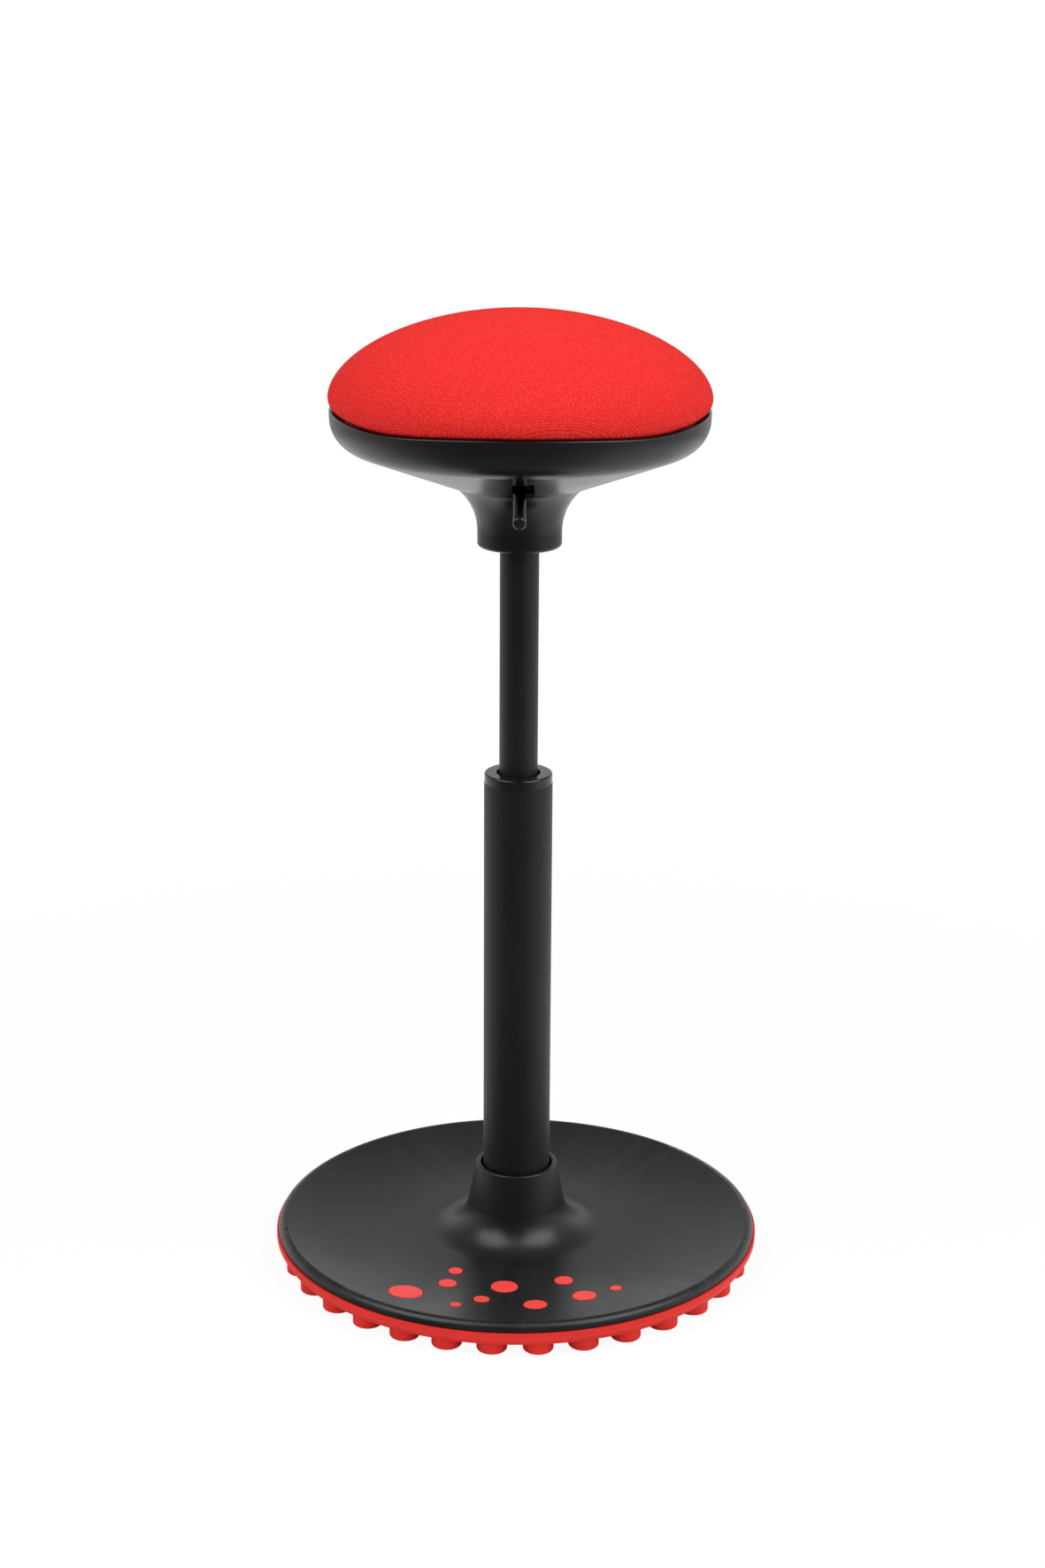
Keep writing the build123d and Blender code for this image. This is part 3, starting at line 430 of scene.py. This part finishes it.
@dataclass(frozen=True)
class MouldedPlastic:
    """Black moulded plastic with a fine grain."""

    name: str
    colour: Colour
    roughness: float
    mark: Mark = Mark.PLAIN
    grain: float = 0.55 * MM
    grain_depth: float = 0.05 * MM
    grain_band: Band = (0.3, 0.7, -0.03, 0.03)
    cloud_size: float = 60.0 * MM
    cloud_band: Band = (0.35, 0.7, 0.0, 0.5)
    cloud_shade: float = 1.5
    cloud_edge: Edge = (0.3, 0.7)
    cloud_rough: float = 0.03
    flow_scale: float = 0.11
    flow_edge: Edge = (0.42, 0.72)
    flow_slope: float = 0.9
    flow_shade: float = 3.5
    flow_share: float = 0.6
    flow_rough: float = 0.05
    hub_edge: Edge = (0.06, 0.10)
    lip_edge: Edge = (0.170, 0.175)
    side_edge: Edge = (0.11, 0.14)
    patch_size: float = 34.0 * MM
    patch_edge: Edge = (0.48, 0.62)
    scuff_colour: Colour = (0.16, 0.16, 0.165)
    scuff_size: float = 1.6 * MM
    scuff_stretch: float = 4.0
    scuff_edge: Edge = (0.56, 0.66)
    scuff_share: float = 0.7
    scuff_rough: float = 0.15
    dust_spacing: float = 9.0 * MM
    dust_size: float = 0.02
    dust_share: float = 0.35

    def flow(self, made: Surface, place: Signal) -> Signal:
        """Faint streaks that run outwards from the hub.

        Args:
            made: The material in work.
            place: Where a point is.

        Returns:
            1 in a streak and 0 between them.
        """
        x, y, _ = made.parts(place)
        radius = made.reach(x, y)
        outward = made.move("NORMALIZE", made.vector(x, y, 0.0), (0.0, 0.0, 0.0))
        streak = made.move("ADD", outward, made.vector(0.0, 0.0, radius * self.flow_slope))
        fine = made.noise(streak, self.flow_scale, detail=3.0, rough=0.55)
        return fine.ramp(*self.flow_edge) * radius.ramp(*self.hub_edge)

    def scuffs(self, made: Surface, place: Signal) -> Signal:
        """Short pale scuffs along the dish's lip, on its two sides.

        Args:
            made: The material in work.
            place: Where a point is.

        Returns:
            1 in a scuff and 0 between them.
        """
        x, y, _ = made.parts(place)
        lip = made.reach(x, y).ramp(*self.lip_edge) * abs(x).ramp(*self.side_edge)
        patch = made.noise(place, self.patch_size, detail=1.0).ramp(*self.patch_edge)
        flattened = made.move("MULTIPLY", place, (1.0, 1.0, self.scuff_stretch))
        scratch = made.noise(flattened, self.scuff_size, detail=3.0, rough=0.65).ramp(*self.scuff_edge)
        return lip * patch * scratch

    def build(self) -> bpy.types.Material:
        """Makes the plastic's material.

        Returns:
            The material.
        """
        made = Surface(self.name)
        place = made.place()
        cloud = made.noise(place, self.cloud_size, detail=3.0)
        grain = made.noise(place, self.grain, detail=3.0, rough=0.6)
        base = made.colour(cloud.ramp(*self.cloud_band), self.colour, shade(self.colour, self.cloud_shade))
        sleek = self.roughness - self.cloud_rough
        dull = self.roughness + self.cloud_rough
        rough = cloud.ramp(*self.cloud_edge, sleek, dull)
        if self.mark is Mark.WORN:
            flow = self.flow(made, place)
            scuff = self.scuffs(made, place)
            base = made.colour(flow * self.flow_share, base, shade(self.colour, self.flow_shade))
            base = made.colour(scuff * self.scuff_share, base, self.scuff_colour)
            rough = rough + flow * self.flow_rough + scuff * self.scuff_rough
        dust = made.specks(place, self.dust_spacing, self.dust_size)
        return made.finish(
            Base_Color=made.colour(dust * self.dust_share, base, self.scuff_colour),
            Roughness=rough + grain.ramp(*self.grain_band),
            Normal=made.bump(grain, self.grain_depth),
        )


@dataclass(frozen=True)
class BlackPaint:
    """Black coating on metal, from a dry fine texture to a wet gloss."""

    name: str
    colour: Colour
    roughness: float
    texture: float = 0.45 * MM
    texture_depth: float = 0.06 * MM
    texture_strength: float = 0.6
    coat: float = 0.0
    coat_roughness: float = 0.08
    specular: float = 0.5
    pale_shade: float = 1.7
    cloud_size: float = 40.0 * MM
    cloud_stretch: float = 0.35
    cloud_band: Band = (0.35, 0.7, 0.0, 0.55)
    cloud_rough: Band = (0.3, 0.7, -0.025, 0.025)
    peel_band: Band = (0.62, 0.74, 0.0, 0.5)

    def build(self) -> bpy.types.Material:
        """Makes the coating's material.

        Returns:
            The material.
        """
        made = Surface(self.name)
        place = made.place()
        peel = made.noise(place, self.texture, detail=4.0, rough=0.6)
        stretched = made.move("MULTIPLY", place, (1.0, 1.0, self.cloud_stretch))
        cloud = made.noise(stretched, self.cloud_size, detail=3.0)
        pale = shade(self.colour, self.pale_shade)
        base = made.colour(cloud.ramp(*self.cloud_band), self.colour, pale)
        return made.finish(
            Base_Color=made.colour(peel.ramp(*self.peel_band), base, pale),
            Roughness=self.roughness + cloud.ramp(*self.cloud_rough),
            Specular_IOR_Level=self.specular,
            Coat_Weight=self.coat,
            Coat_Roughness=self.coat_roughness,
            Normal=made.bump(peel, self.texture_depth, strength=self.texture_strength),
        )


@dataclass(frozen=True)
class RedRubber:
    """Matt red rubber with a dusty bloom and, where a height is given, a pale line of painted highlight
    along that height.
    """

    name: str
    colour: Colour
    # Pale red for the dusty bloom, and for the painted highlight line.
    bloom_and_highlight_colour: Colour = (0.80, 0.09, 0.075)
    roughness: float = 0.55
    specular: float = 0.3
    cloud_size: float = 45.0 * MM
    cloud_edge: Edge = (0.35, 0.65)
    deep_shade: float = 0.92
    grain: float = 0.7 * MM
    grain_depth: float = 0.04 * MM
    smear_size: float = 7.0 * MM
    smear_stretch: float = 3.0
    smear_band: Band = (0.60, 0.80, 0.0, 0.06)
    smear_rough: Band = (0.4, 0.8, -0.05, 0.10)
    # Height of a painted highlight line, where the sole's chamfer edge meets its upright wall.
    edge_highlight_height: Optional[float] = None
    edge_highlight_band: Band = (0.14 * MM, 0.35 * MM, 0.55, 0.0)

    def build(self) -> bpy.types.Material:
        """Makes the rubber's material.

        Returns:
            The material.
        """
        made = Surface(self.name)
        place = made.place()
        cloud = made.noise(place, self.cloud_size, detail=4.0)
        grain = made.noise(place, self.grain, detail=3.0, rough=0.6)
        flattened = made.move("MULTIPLY", place, (1.0, 1.0, self.smear_stretch))
        smear = made.noise(flattened, self.smear_size, detail=4.0, rough=0.6)
        deep = shade(self.colour, self.deep_shade)
        base = made.colour(cloud.ramp(*self.cloud_edge), deep, self.colour)
        base = made.colour(smear.ramp(*self.smear_band), base, self.bloom_and_highlight_colour)
        # Painted highlight: a pale line along the given height, where the sole's edge catches the light.
        if self.edge_highlight_height is not None:
            _, _, height = made.parts(place)
            line = abs(height - self.edge_highlight_height).ramp(*self.edge_highlight_band)
            base = made.colour(line, base, self.bloom_and_highlight_colour)
        return made.finish(
            Base_Color=base,
            Roughness=self.roughness + smear.ramp(*self.smear_rough),
            Specular_IOR_Level=self.specular,
            Normal=made.bump(grain, self.grain_depth),
        )


@dataclass(frozen=True)
class WorkedMetal:
    """Bare metal with fine marks along its turning or rolling."""

    name: str
    colour: Colour
    roughness: float
    scratch: float = 1.2 * MM
    scratch_depth: float = 0.02 * MM
    scratch_stretch: float = 12.0
    scratch_rough: Band = (0.3, 0.7, -0.06, 0.08)
    cloud_size: float = 25.0 * MM
    cloud_edge: Edge = (0.3, 0.7)
    deep_shade: float = 0.78

    def build(self) -> bpy.types.Material:
        """Makes the metal's material.

        Returns:
            The material.
        """
        made = Surface(self.name)
        place = made.place()
        stretched = made.move("MULTIPLY", place, (1.0, 1.0, self.scratch_stretch))
        marks = made.noise(stretched, self.scratch, detail=4.0, rough=0.6)
        cloud = made.noise(place, self.cloud_size, detail=3.0)
        deep = shade(self.colour, self.deep_shade)
        return made.finish(
            Base_Color=made.colour(cloud.ramp(*self.cloud_edge), deep, self.colour),
            Metallic=1.0,
            Roughness=self.roughness + marks.ramp(*self.scratch_rough),
            Normal=made.bump(marks, self.scratch_depth),
        )


@dataclass(frozen=True)
class Plywood:
    """Birch plywood with its layers on the edge and its grain on the face."""

    name: str = "birch_ply"
    pale: Colour = (0.66, 0.47, 0.28)
    dark: Colour = (0.42, 0.25, 0.12)
    layer: float = 1.5 * MM
    layer_edge: Edge = (-0.2, 0.2)
    layer_share: float = 0.35
    grain: float = 1.8 * MM
    grain_edge: Edge = (0.35, 0.7)
    grain_depth: float = 0.06 * MM
    grain_stretch: float = 0.12
    grain_rough: Band = (0.3, 0.7, 0.55, 0.72)

    def build(self) -> bpy.types.Material:
        """Makes the wood's material.

        Returns:
            The material.
        """
        made = Surface(self.name)
        place = made.place()
        _, _, height = made.parts(place)
        layers = (height * (math.pi / self.layer)).sine().ramp(*self.layer_edge)
        stretched = made.move("MULTIPLY", place, (self.grain_stretch, 1.0, 1.0))
        grain = made.noise(stretched, self.grain, detail=4.0, rough=0.6)
        base = made.colour(grain.ramp(*self.grain_edge), self.pale, self.dark)
        return made.finish(
            Base_Color=made.colour(layers * self.layer_share, base, self.dark),
            Roughness=grain.ramp(*self.grain_rough),
            Normal=made.bump(grain, self.grain_depth),
        )


Finish = Union[WovenCloth, MouldedPlastic, BlackPaint, RedRubber, WorkedMetal, Plywood]

DISH_PLASTIC = MouldedPlastic("dish_plastic", (0.0042, 0.0042, 0.0044), 0.36, Mark.WORN)
SHELL_PLASTIC = MouldedPlastic("shell_plastic", (0.005, 0.005, 0.0052), 0.26, grain_depth=0.02 * MM)
BUSH_PLASTIC = MouldedPlastic("bush_plastic", (0.035, 0.035, 0.036), 0.5)
BUFFER_RUBBER = MouldedPlastic("buffer_rubber", (0.02, 0.02, 0.02), 0.7)
CAP_GLOSS = BlackPaint("cap_gloss", (0.004, 0.004, 0.0045), 0.16, texture_depth=0.008 * MM)
LEVER_ENAMEL = BlackPaint("lever_enamel", (0.004, 0.004, 0.0045), 0.14, texture_depth=0.006 * MM, coat=0.4)
TUBE_PAINT = BlackPaint("tube_paint", (0.006, 0.006, 0.0063), 0.48, specular=0.36)
CYLINDER_PAINT = BlackPaint(
    "cylinder_paint", (0.006, 0.006, 0.0064), 0.42, texture_depth=0.03 * MM, specular=0.38
)
# The painted highlight line sits on the sole's chamfer edge, 14.2 mm up.
SOLE_RUBBER = RedRubber("sole_rubber", (0.80, 0.022, 0.014), edge_highlight_height=14.2 * MM)
DOT_RUBBER = RedRubber("dot_rubber", (0.90, 0.062, 0.055), roughness=0.5)
PRESSED_STEEL = WorkedMetal("pressed_steel", (0.50, 0.50, 0.51), 0.38)
ZINC_PLATE = WorkedMetal("zinc_plate", (0.62, 0.62, 0.58), 0.34)
GROUND_STEEL = WorkedMetal("ground_steel", (0.66, 0.66, 0.67), 0.16, scratch=0.5 * MM)
BRASS_SHEET = WorkedMetal("brass_sheet", (0.70, 0.52, 0.22), 0.3)
TURNED_ALLOY = WorkedMetal("turned_alloy", (0.76, 0.77, 0.78), 0.28)
SEAT_PLY = Plywood()


class Wardrobe:
    """Builds each finish once and hands it to the pieces that wear it."""

    def __init__(self) -> None:
        """Starts with nothing built."""
        self.made: dict[str, bpy.types.Material] = {}

    def material(self, finish: Finish) -> bpy.types.Material:
        """Finds the material of a finish, and builds it the first time.

        Args:
            finish: The finish.

        Returns:
            Its material.
        """
        if finish.name not in self.made:
            self.made[finish.name] = finish.build()
        return self.made[finish.name]

    def wear(self, piece: bpy.types.Object, finish: Finish) -> None:
        """Gives a piece a finish in all its material slots.

        Args:
            piece: A new piece, or a CAD node's object.
            finish: What it wears.
        """
        material = self.material(finish)
        if not piece.material_slots:
            piece.data.materials.append(material)
        for slot in piece.material_slots:
            slot.material = material
        LOG.info("%s wears %s", piece.name, finish.name)


@dataclass
class Group:
    """CAD nodes of one sub-assembly and the finish that each of them wears."""

    title: str
    finishes: dict[str, Finish]

    def dress(self, wardrobe: Wardrobe) -> None:
        """Gives every node of the group its finish.

        Args:
            wardrobe: Where the finishes come from.
        """
        LOG.info("dressing the %s", self.title)
        for node, finish in self.finishes.items():
            wardrobe.wear(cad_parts[node], finish)


class BaseGroup(Group):
    """Studded sole, ballast, dish and grip dots."""

    def __init__(self) -> None:
        """Names the base's nodes."""
        super().__init__(
            "base",
            {
                "rubber_sole": SOLE_RUBBER,
                "grip_dots": DOT_RUBBER,
                "base_dish": DISH_PLASTIC,
                "ballast_plate": PRESSED_STEEL,
                "column_socket": PRESSED_STEEL,
                "sole_screws": ZINC_PLATE,
            },
        )


class ColumnGroup(Group):
    """Outer tube, gas spring and swivel bearing."""

    def __init__(self) -> None:
        """Names the column's nodes."""
        super().__init__(
            "column",
            {
                "outer_tube": TUBE_PAINT,
                "top_cap": CAP_GLOSS,
                "gas_cylinder": CYLINDER_PAINT,
                "guide_bush": BUSH_PLASTIC,
                "rod_guide": BUSH_PLASTIC,
                "tube_end_disc": PRESSED_STEEL,
                "lower_race": GROUND_STEEL,
                "upper_race": GROUND_STEEL,
                "bearing_balls": GROUND_STEEL,
                "ball_cage": BRASS_SHEET,
                "piston_rod": GROUND_STEEL,
                "retaining_clip": ZINC_PLATE,
                "buffer_ring": BUFFER_RUBBER,
                "piston": TURNED_ALLOY,
                "piston_nut": ZINC_PLATE,
                "release_button": GROUND_STEEL,
            },
        )


class SeatGroup(Group):
    """Seat shell, lever and the steel and board inside the seat."""

    def __init__(self) -> None:
        """Names the seat's nodes."""
        super().__init__(
            "seat",
            {
                "seat_shell": SHELL_PLASTIC,
                "lever_rod": LEVER_ENAMEL,
                "taper_socket": PRESSED_STEEL,
                "lever_bracket": PRESSED_STEEL,
                "mount_plate": PRESSED_STEEL,
                "mount_bolts": ZINC_PLATE,
                "tee_nuts": ZINC_PLATE,
                "shell_screws": ZINC_PLATE,
                "pivot_pin": GROUND_STEEL,
                "pin_clip": ZINC_PLATE,
                "seat_board": SEAT_PLY,
            },
        )


def linked(name: str, data: bpy.types.ID) -> bpy.types.Object:
    """Makes an object in the scene, at the origin.

    Args:
        name: The object's name.
        data: Its mesh, light or camera.

    Returns:
        The new object.
    """
    made = bpy.data.objects.new(name, data)
    bpy.context.scene.collection.objects.link(made)
    return made


def mesh_from(name: str, shape: bmesh.types.BMesh) -> bpy.types.Mesh:
    """Turns a bmesh into a smooth-shaded mesh, and frees it.

    Args:
        name: The mesh's name.
        shape: The bmesh.

    Returns:
        The mesh.
    """
    for face in shape.faces:
        face.smooth = True
    mesh = bpy.data.meshes.new(name)
    shape.to_mesh(mesh)
    shape.free()
    return mesh


@dataclass
class Cushion:
    """The domed foam cushion in its woven cover, drawn in under its edge."""

    cloth: WovenCloth = field(default_factory=WovenCloth)
    equator: float = 8.4 * MM
    crown_power: float = 1.95
    side_power: float = 1.8
    tuck_inset: float = 6.4 * MM
    foot_drop: float = 4.0 * MM
    fullness: float = 0.2 * MM
    dip: float = 3.0 * MM
    dip_side: float = 85.0 * MM
    crown_rings: int = 34
    segments: int = 144
    tuck_rings: int = 5
    merge: float = 0.02 * MM
    pressure: float = 4.0
    frames: int = 20
    swell_cap: float = 1.5 * MM
    held_share: float = 0.5
    weave_turn: float = 35.0
    weave_fall: float = 2.0
    weave_pole: float = 0.01 * MM
    radius: float = field(init=False)
    rim: float = field(init=False)
    top: float = field(init=False)
    middle: float = field(init=False)

    def __post_init__(self) -> None:
        """Takes the cushion's size and place from the CAD frame."""
        _, cover_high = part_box("seat_cover")
        _, shell_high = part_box("seat_shell")
        self.radius = cover_high.x
        self.rim = shell_high.z
        self.top = cover_high.z
        self.middle = self.rim + self.equator

    def profile(self) -> list[tuple[float, float]]:
        """Draws the cushion's half section.

        Returns:
            Distances from the axis and heights, from the apex round the edge to the foot.
        """
        radius = self.radius + self.fullness
        crown = self.top - self.middle + self.fullness
        foot = self.rim - self.foot_drop
        points = []
        for ring in range(self.crown_rings + 1):
            angle = ring / self.crown_rings * math.pi / 2
            reach = radius * math.sin(angle) ** (2 / self.crown_power)
            rise = crown * max(math.cos(angle), 0.0) ** (2 / self.side_power)
            points.append((reach, self.middle + rise))
        for ring in range(1, self.tuck_rings + 1):
            angle = ring / self.tuck_rings * math.pi / 2
            drawn = self.tuck_inset * (1.0 - math.cos(angle))
            points.append((radius - drawn, self.middle - self.equator * math.sin(angle)))
        points.append((radius - self.tuck_inset, foot))
        points.append((0.0, foot))
        return points

    def rim_dip(self, x: float, y: float) -> float:
        """Finds how far the shell's rim dips below its highest, in the direction of a point.

        Args:
            x: The point's X.
            y: The point's Y.

        Returns:
            The dip.
        """
        turn = math.atan2(y, x) % (math.pi / 2) - math.pi / 4
        share = min(self.radius * abs(math.sin(turn)) / self.dip_side, 1.0)
        return self.dip * (1.0 - share**2 * (3.0 - 2.0 * share))

    def settle(self, shape: bmesh.types.BMesh) -> None:
        """Lets the cushion's edge down into the dips of the rim.

        Args:
            shape: The spun cushion.
        """
        for vert in shape.verts:
            share = min(max((self.middle - vert.co.z) / self.equator, 0.0), 1.0)
            vert.co.z -= share * self.rim_dip(vert.co.x, vert.co.y)

    def spun(self) -> bpy.types.Mesh:
        """Turns the half section into the cushion's form before it is filled.

        Returns:
            The mesh.
        """
        shape = bmesh.new()
        verts = [shape.verts.new((reach, 0.0, height)) for reach, height in self.profile()]
        edges = [shape.edges.new(pair) for pair in zip(verts, verts[1:])]
        bmesh.ops.spin(
            shape,
            geom=verts + edges,
            cent=(0.0, 0.0, 0.0),
            axis=(0.0, 0.0, 1.0),
            angle=2 * math.pi,
            steps=self.segments,
            use_merge=True,
        )
        bmesh.ops.remove_doubles(shape, verts=shape.verts, dist=self.merge)
        bmesh.ops.recalc_face_normals(shape, faces=shape.faces)
        self.settle(shape)
        return mesh_from("seat_cushion", shape)

    def fill(self, piece: bpy.types.Object) -> None:
        """Fills the cushion by a cloth simulation and keeps the result in its mesh.

        Args:
            piece: The spun cushion.
        """
        scene = bpy.context.scene
        held = piece.vertex_groups.new(name="held")
        rest = [vert.co.copy() for vert in piece.data.vertices]
        waist = self.middle - self.held_share * self.equator
        held.add([index for index, point in enumerate(rest) if point.z < waist], 1.0, "REPLACE")
        cloth = piece.modifiers.new("filling", "CLOTH")
        cloth.settings.use_pressure = True
        cloth.settings.uniform_pressure_force = self.pressure
        cloth.settings.effector_weights.gravity = 0.0
        cloth.settings.vertex_group_mass = held.name
        cloth.collision_settings.use_collision = False
        for step in range(1, self.frames + 1):
            scene.frame_set(step)
        filled = piece.evaluated_get(bpy.context.evaluated_depsgraph_get()).to_mesh()
        moved = [vert.co.copy() for vert in filled.vertices]
        piece.modifiers.remove(cloth)
        piece.vertex_groups.remove(held)
        scene.frame_set(1)
        for vert, start, end in zip(piece.data.vertices, rest, moved):
            shift = end - start
            if shift.length > self.swell_cap:
                shift = shift.normalized() * self.swell_cap
            vert.co = start + shift

    def lay_weave(self, mesh: bpy.types.Mesh) -> None:
        """Maps the weave so that its threads keep their width down the cushion's sides.

        Args:
            mesh: The cushion's mesh.
        """
        layer = mesh.uv_layers.new(name=WEAVE_UV)
        turn = Matrix.Rotation(math.radians(self.weave_turn), 2)
        for loop in mesh.loops:
            point = mesh.vertices[loop.vertex_index].co
            reach = math.hypot(point.x, point.y)
            drop = self.top - point.z
            length = math.sqrt(reach**2 + self.weave_fall * drop**2)
            layer.data[loop.index].uv = turn @ point.xy * (length / max(reach, self.weave_pole))

    def build(self, wardrobe: Wardrobe) -> bpy.types.Object:
        """Makes, fills and dresses the cushion.

        Args:
            wardrobe: Where its cloth comes from.

        Returns:
            The cushion.
        """
        piece = linked("seat_cushion", self.spun())
        self.fill(piece)
        self.lay_weave(piece.data)
        smooth = piece.modifiers.new("smooth", "SUBSURF")
        smooth.levels = 1
        smooth.render_levels = 1
        wardrobe.wear(piece, self.cloth)
        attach(piece, Body.SEAT.value)
        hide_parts("seat_cover", "seat_foam")
        return piece


@dataclass(frozen=True)
class Softbox:
    """A square soft light: its name, its place, the length of its side and its power in watts."""

    name: str
    place: Point
    size: float
    power: float

    def build(self, aim: Vector) -> None:
        """Sets the light up.

        Args:
            aim: The point that it faces.
        """
        light = bpy.data.lights.new(self.name, "AREA")
        light.shape = "SQUARE"
        light.size = self.size
        light.energy = self.power
        lamp = linked(self.name, light)
        lamp.location = self.place
        lamp.rotation_euler = (aim - lamp.location).to_track_quat("-Z", "Y").to_euler()
        LOG.info("%s stands at %s", self.name, self.place)


LEFT_SOFTBOX = Softbox("left_softbox", (-1.40, -0.78, 2.30), 2.0, 44.0)
RIGHT_SOFTBOX = Softbox("right_softbox", (1.35, -0.78, 2.06), 1.8, 43.0)


@dataclass
class Studio:
    """A pale floor, soft light and the camera at the photograph's angle."""

    lamps: tuple[Softbox, ...] = (LEFT_SOFTBOX, RIGHT_SOFTBOX)
    aim: Point = (0.0, 0.0, 0.6)
    camera_place: Point = (0.00302, -1.964, 0.9682)
    camera_pitch: float = 17.0
    camera_roll: float = 0.33
    focal_pixels: float = 3188.0
    sensor: float = 36.0
    floor_size: float = 9.0
    floor_white: float = 0.9
    glow_band: Band = (0.55, 1.10, 0.93, 1.0)
    ambient: float = 0.28
    background: float = 1.0
    room_turn: float = 14.0
    room_band: Band = (-1.0, 0.15, 0.15, 1.0)
    far_band: Band = (1.3, 2.4, 1.0, 0.55)
    high_band: Band = (0.05, 0.75, 1.0, 0.2)

    def rays(self, graph: Graph) -> tuple[Signal, Signal]:
        """Tells which rays show the background.

        Args:
            graph: The node tree that asks.

        Returns:
            1 on rays from the camera or through a glass, and 1 on rays from a gloss.
        """
        camera = graph.node("ShaderNodeLightPath", None, None, "Is Camera Ray")
        outputs = camera.socket.node.outputs
        through = Signal(graph, outputs["Is Transmission Ray"])
        return camera.larger(through), Signal(graph, outputs["Is Glossy Ray"])

    def mirrored(self, x: Signal, y: Signal) -> Signal:
        """Tells what a gloss shows of the room: dim towards the camera, white beside and behind.

        Args:
            x: Level direction to the right, from -1 to 1.
            y: Level direction away from the camera, from -1 to 1.

        Returns:
            The room's brightness in that direction.
        """
        turn = math.radians(self.room_turn)
        away = x * math.sin(turn) + y * math.cos(turn)
        return away.ramp(*self.room_band)

    def floor(self) -> None:
        """Lays the pale floor, which keeps the stool's shadow."""
        shape = bmesh.new()
        bmesh.ops.create_grid(shape, x_segments=2, y_segments=2, size=self.floor_size)
        piece = linked("studio_floor", mesh_from("studio_floor", shape))
        material = bpy.data.materials.new("floor_paper")
        material.use_nodes = True
        graph = Graph(material.node_tree)
        paper = graph.node("ShaderNodeBsdfDiffuse", None, {"Color": (self.floor_white,) * 3})
        x, y, _ = graph.parts(graph.node("ShaderNodeTexCoord", None, None, "Object"))
        reach = graph.reach(x, y)
        shown, glossy = self.rays(graph)
        strength = shown.larger(self.mirrored(x / reach, y / reach) * reach.ramp(*self.far_band))
        glow = graph.node("ShaderNodeEmission", None, {"Color": WHITE, "Strength": strength})
        share = shown.larger(glossy) * reach.ramp(*self.glow_band)
        mixed = graph.node("ShaderNodeMixShader", None, {0: share, 1: paper, 2: glow})
        graph.end("ShaderNodeOutputMaterial", mixed)
        piece.data.materials.append(material)

    def world(self) -> None:
        """Sets even light all round, white to the camera and to what a gloss shows behind the stool."""
        world = bpy.data.worlds.new("studio")
        world.use_nodes = True
        graph = Graph(world.node_tree)
        x, y, height = graph.parts(graph.node("ShaderNodeTexCoord", None, None, "Generated"))
        level = graph.reach(x, y)
        mirrored = self.mirrored(x / level, y / level) * height.ramp(*self.high_band)
        shown, glossy = self.rays(graph)
        strength = self.ambient + shown * (self.background - self.ambient)
        strength = strength + glossy * (mirrored - self.ambient)
        sky = graph.node("ShaderNodeBackground", None, {"Color": WHITE, "Strength": strength})
        graph.end("ShaderNodeOutputWorld", sky)
        bpy.context.scene.world = world

    def camera(self) -> None:
        """Places the camera of the photograph."""
        lens = bpy.data.cameras.new("camera")
        lens.sensor_fit = "AUTO"
        lens.sensor_width = self.sensor
        lens.lens = self.focal_pixels / max(PHOTO_WIDTH, PHOTO_HEIGHT) * self.sensor
        eye = linked("camera", lens)
        tilt = Matrix.Rotation(math.radians(90.0 - self.camera_pitch), 4, "X")
        roll = Matrix.Rotation(math.radians(self.camera_roll), 4, "Z")
        eye.matrix_world = Matrix.Translation(self.camera_place) @ tilt @ roll
        bpy.context.scene.camera = eye

    def build(self) -> None:
        """Sets the studio up."""
        bpy.context.scene.view_settings.view_transform = "Standard"
        self.floor()
        self.world()
        for lamp in self.lamps:
            lamp.build(Vector(self.aim))
        self.camera()


def main() -> None:
    """Dresses the stool and sets up its studio."""
    logging.basicConfig(level=logging.INFO, format="%(name)s: %(message)s")
    wardrobe = Wardrobe()
    for group in (BaseGroup(), ColumnGroup(), SeatGroup()):
        group.dress(wardrobe)
    cushion = Cushion().build(wardrobe)
    LOG.info("%s has %d faces", cushion.name, len(cushion.data.polygons))
    Studio().build()


if __name__ == "__main__":
    main()
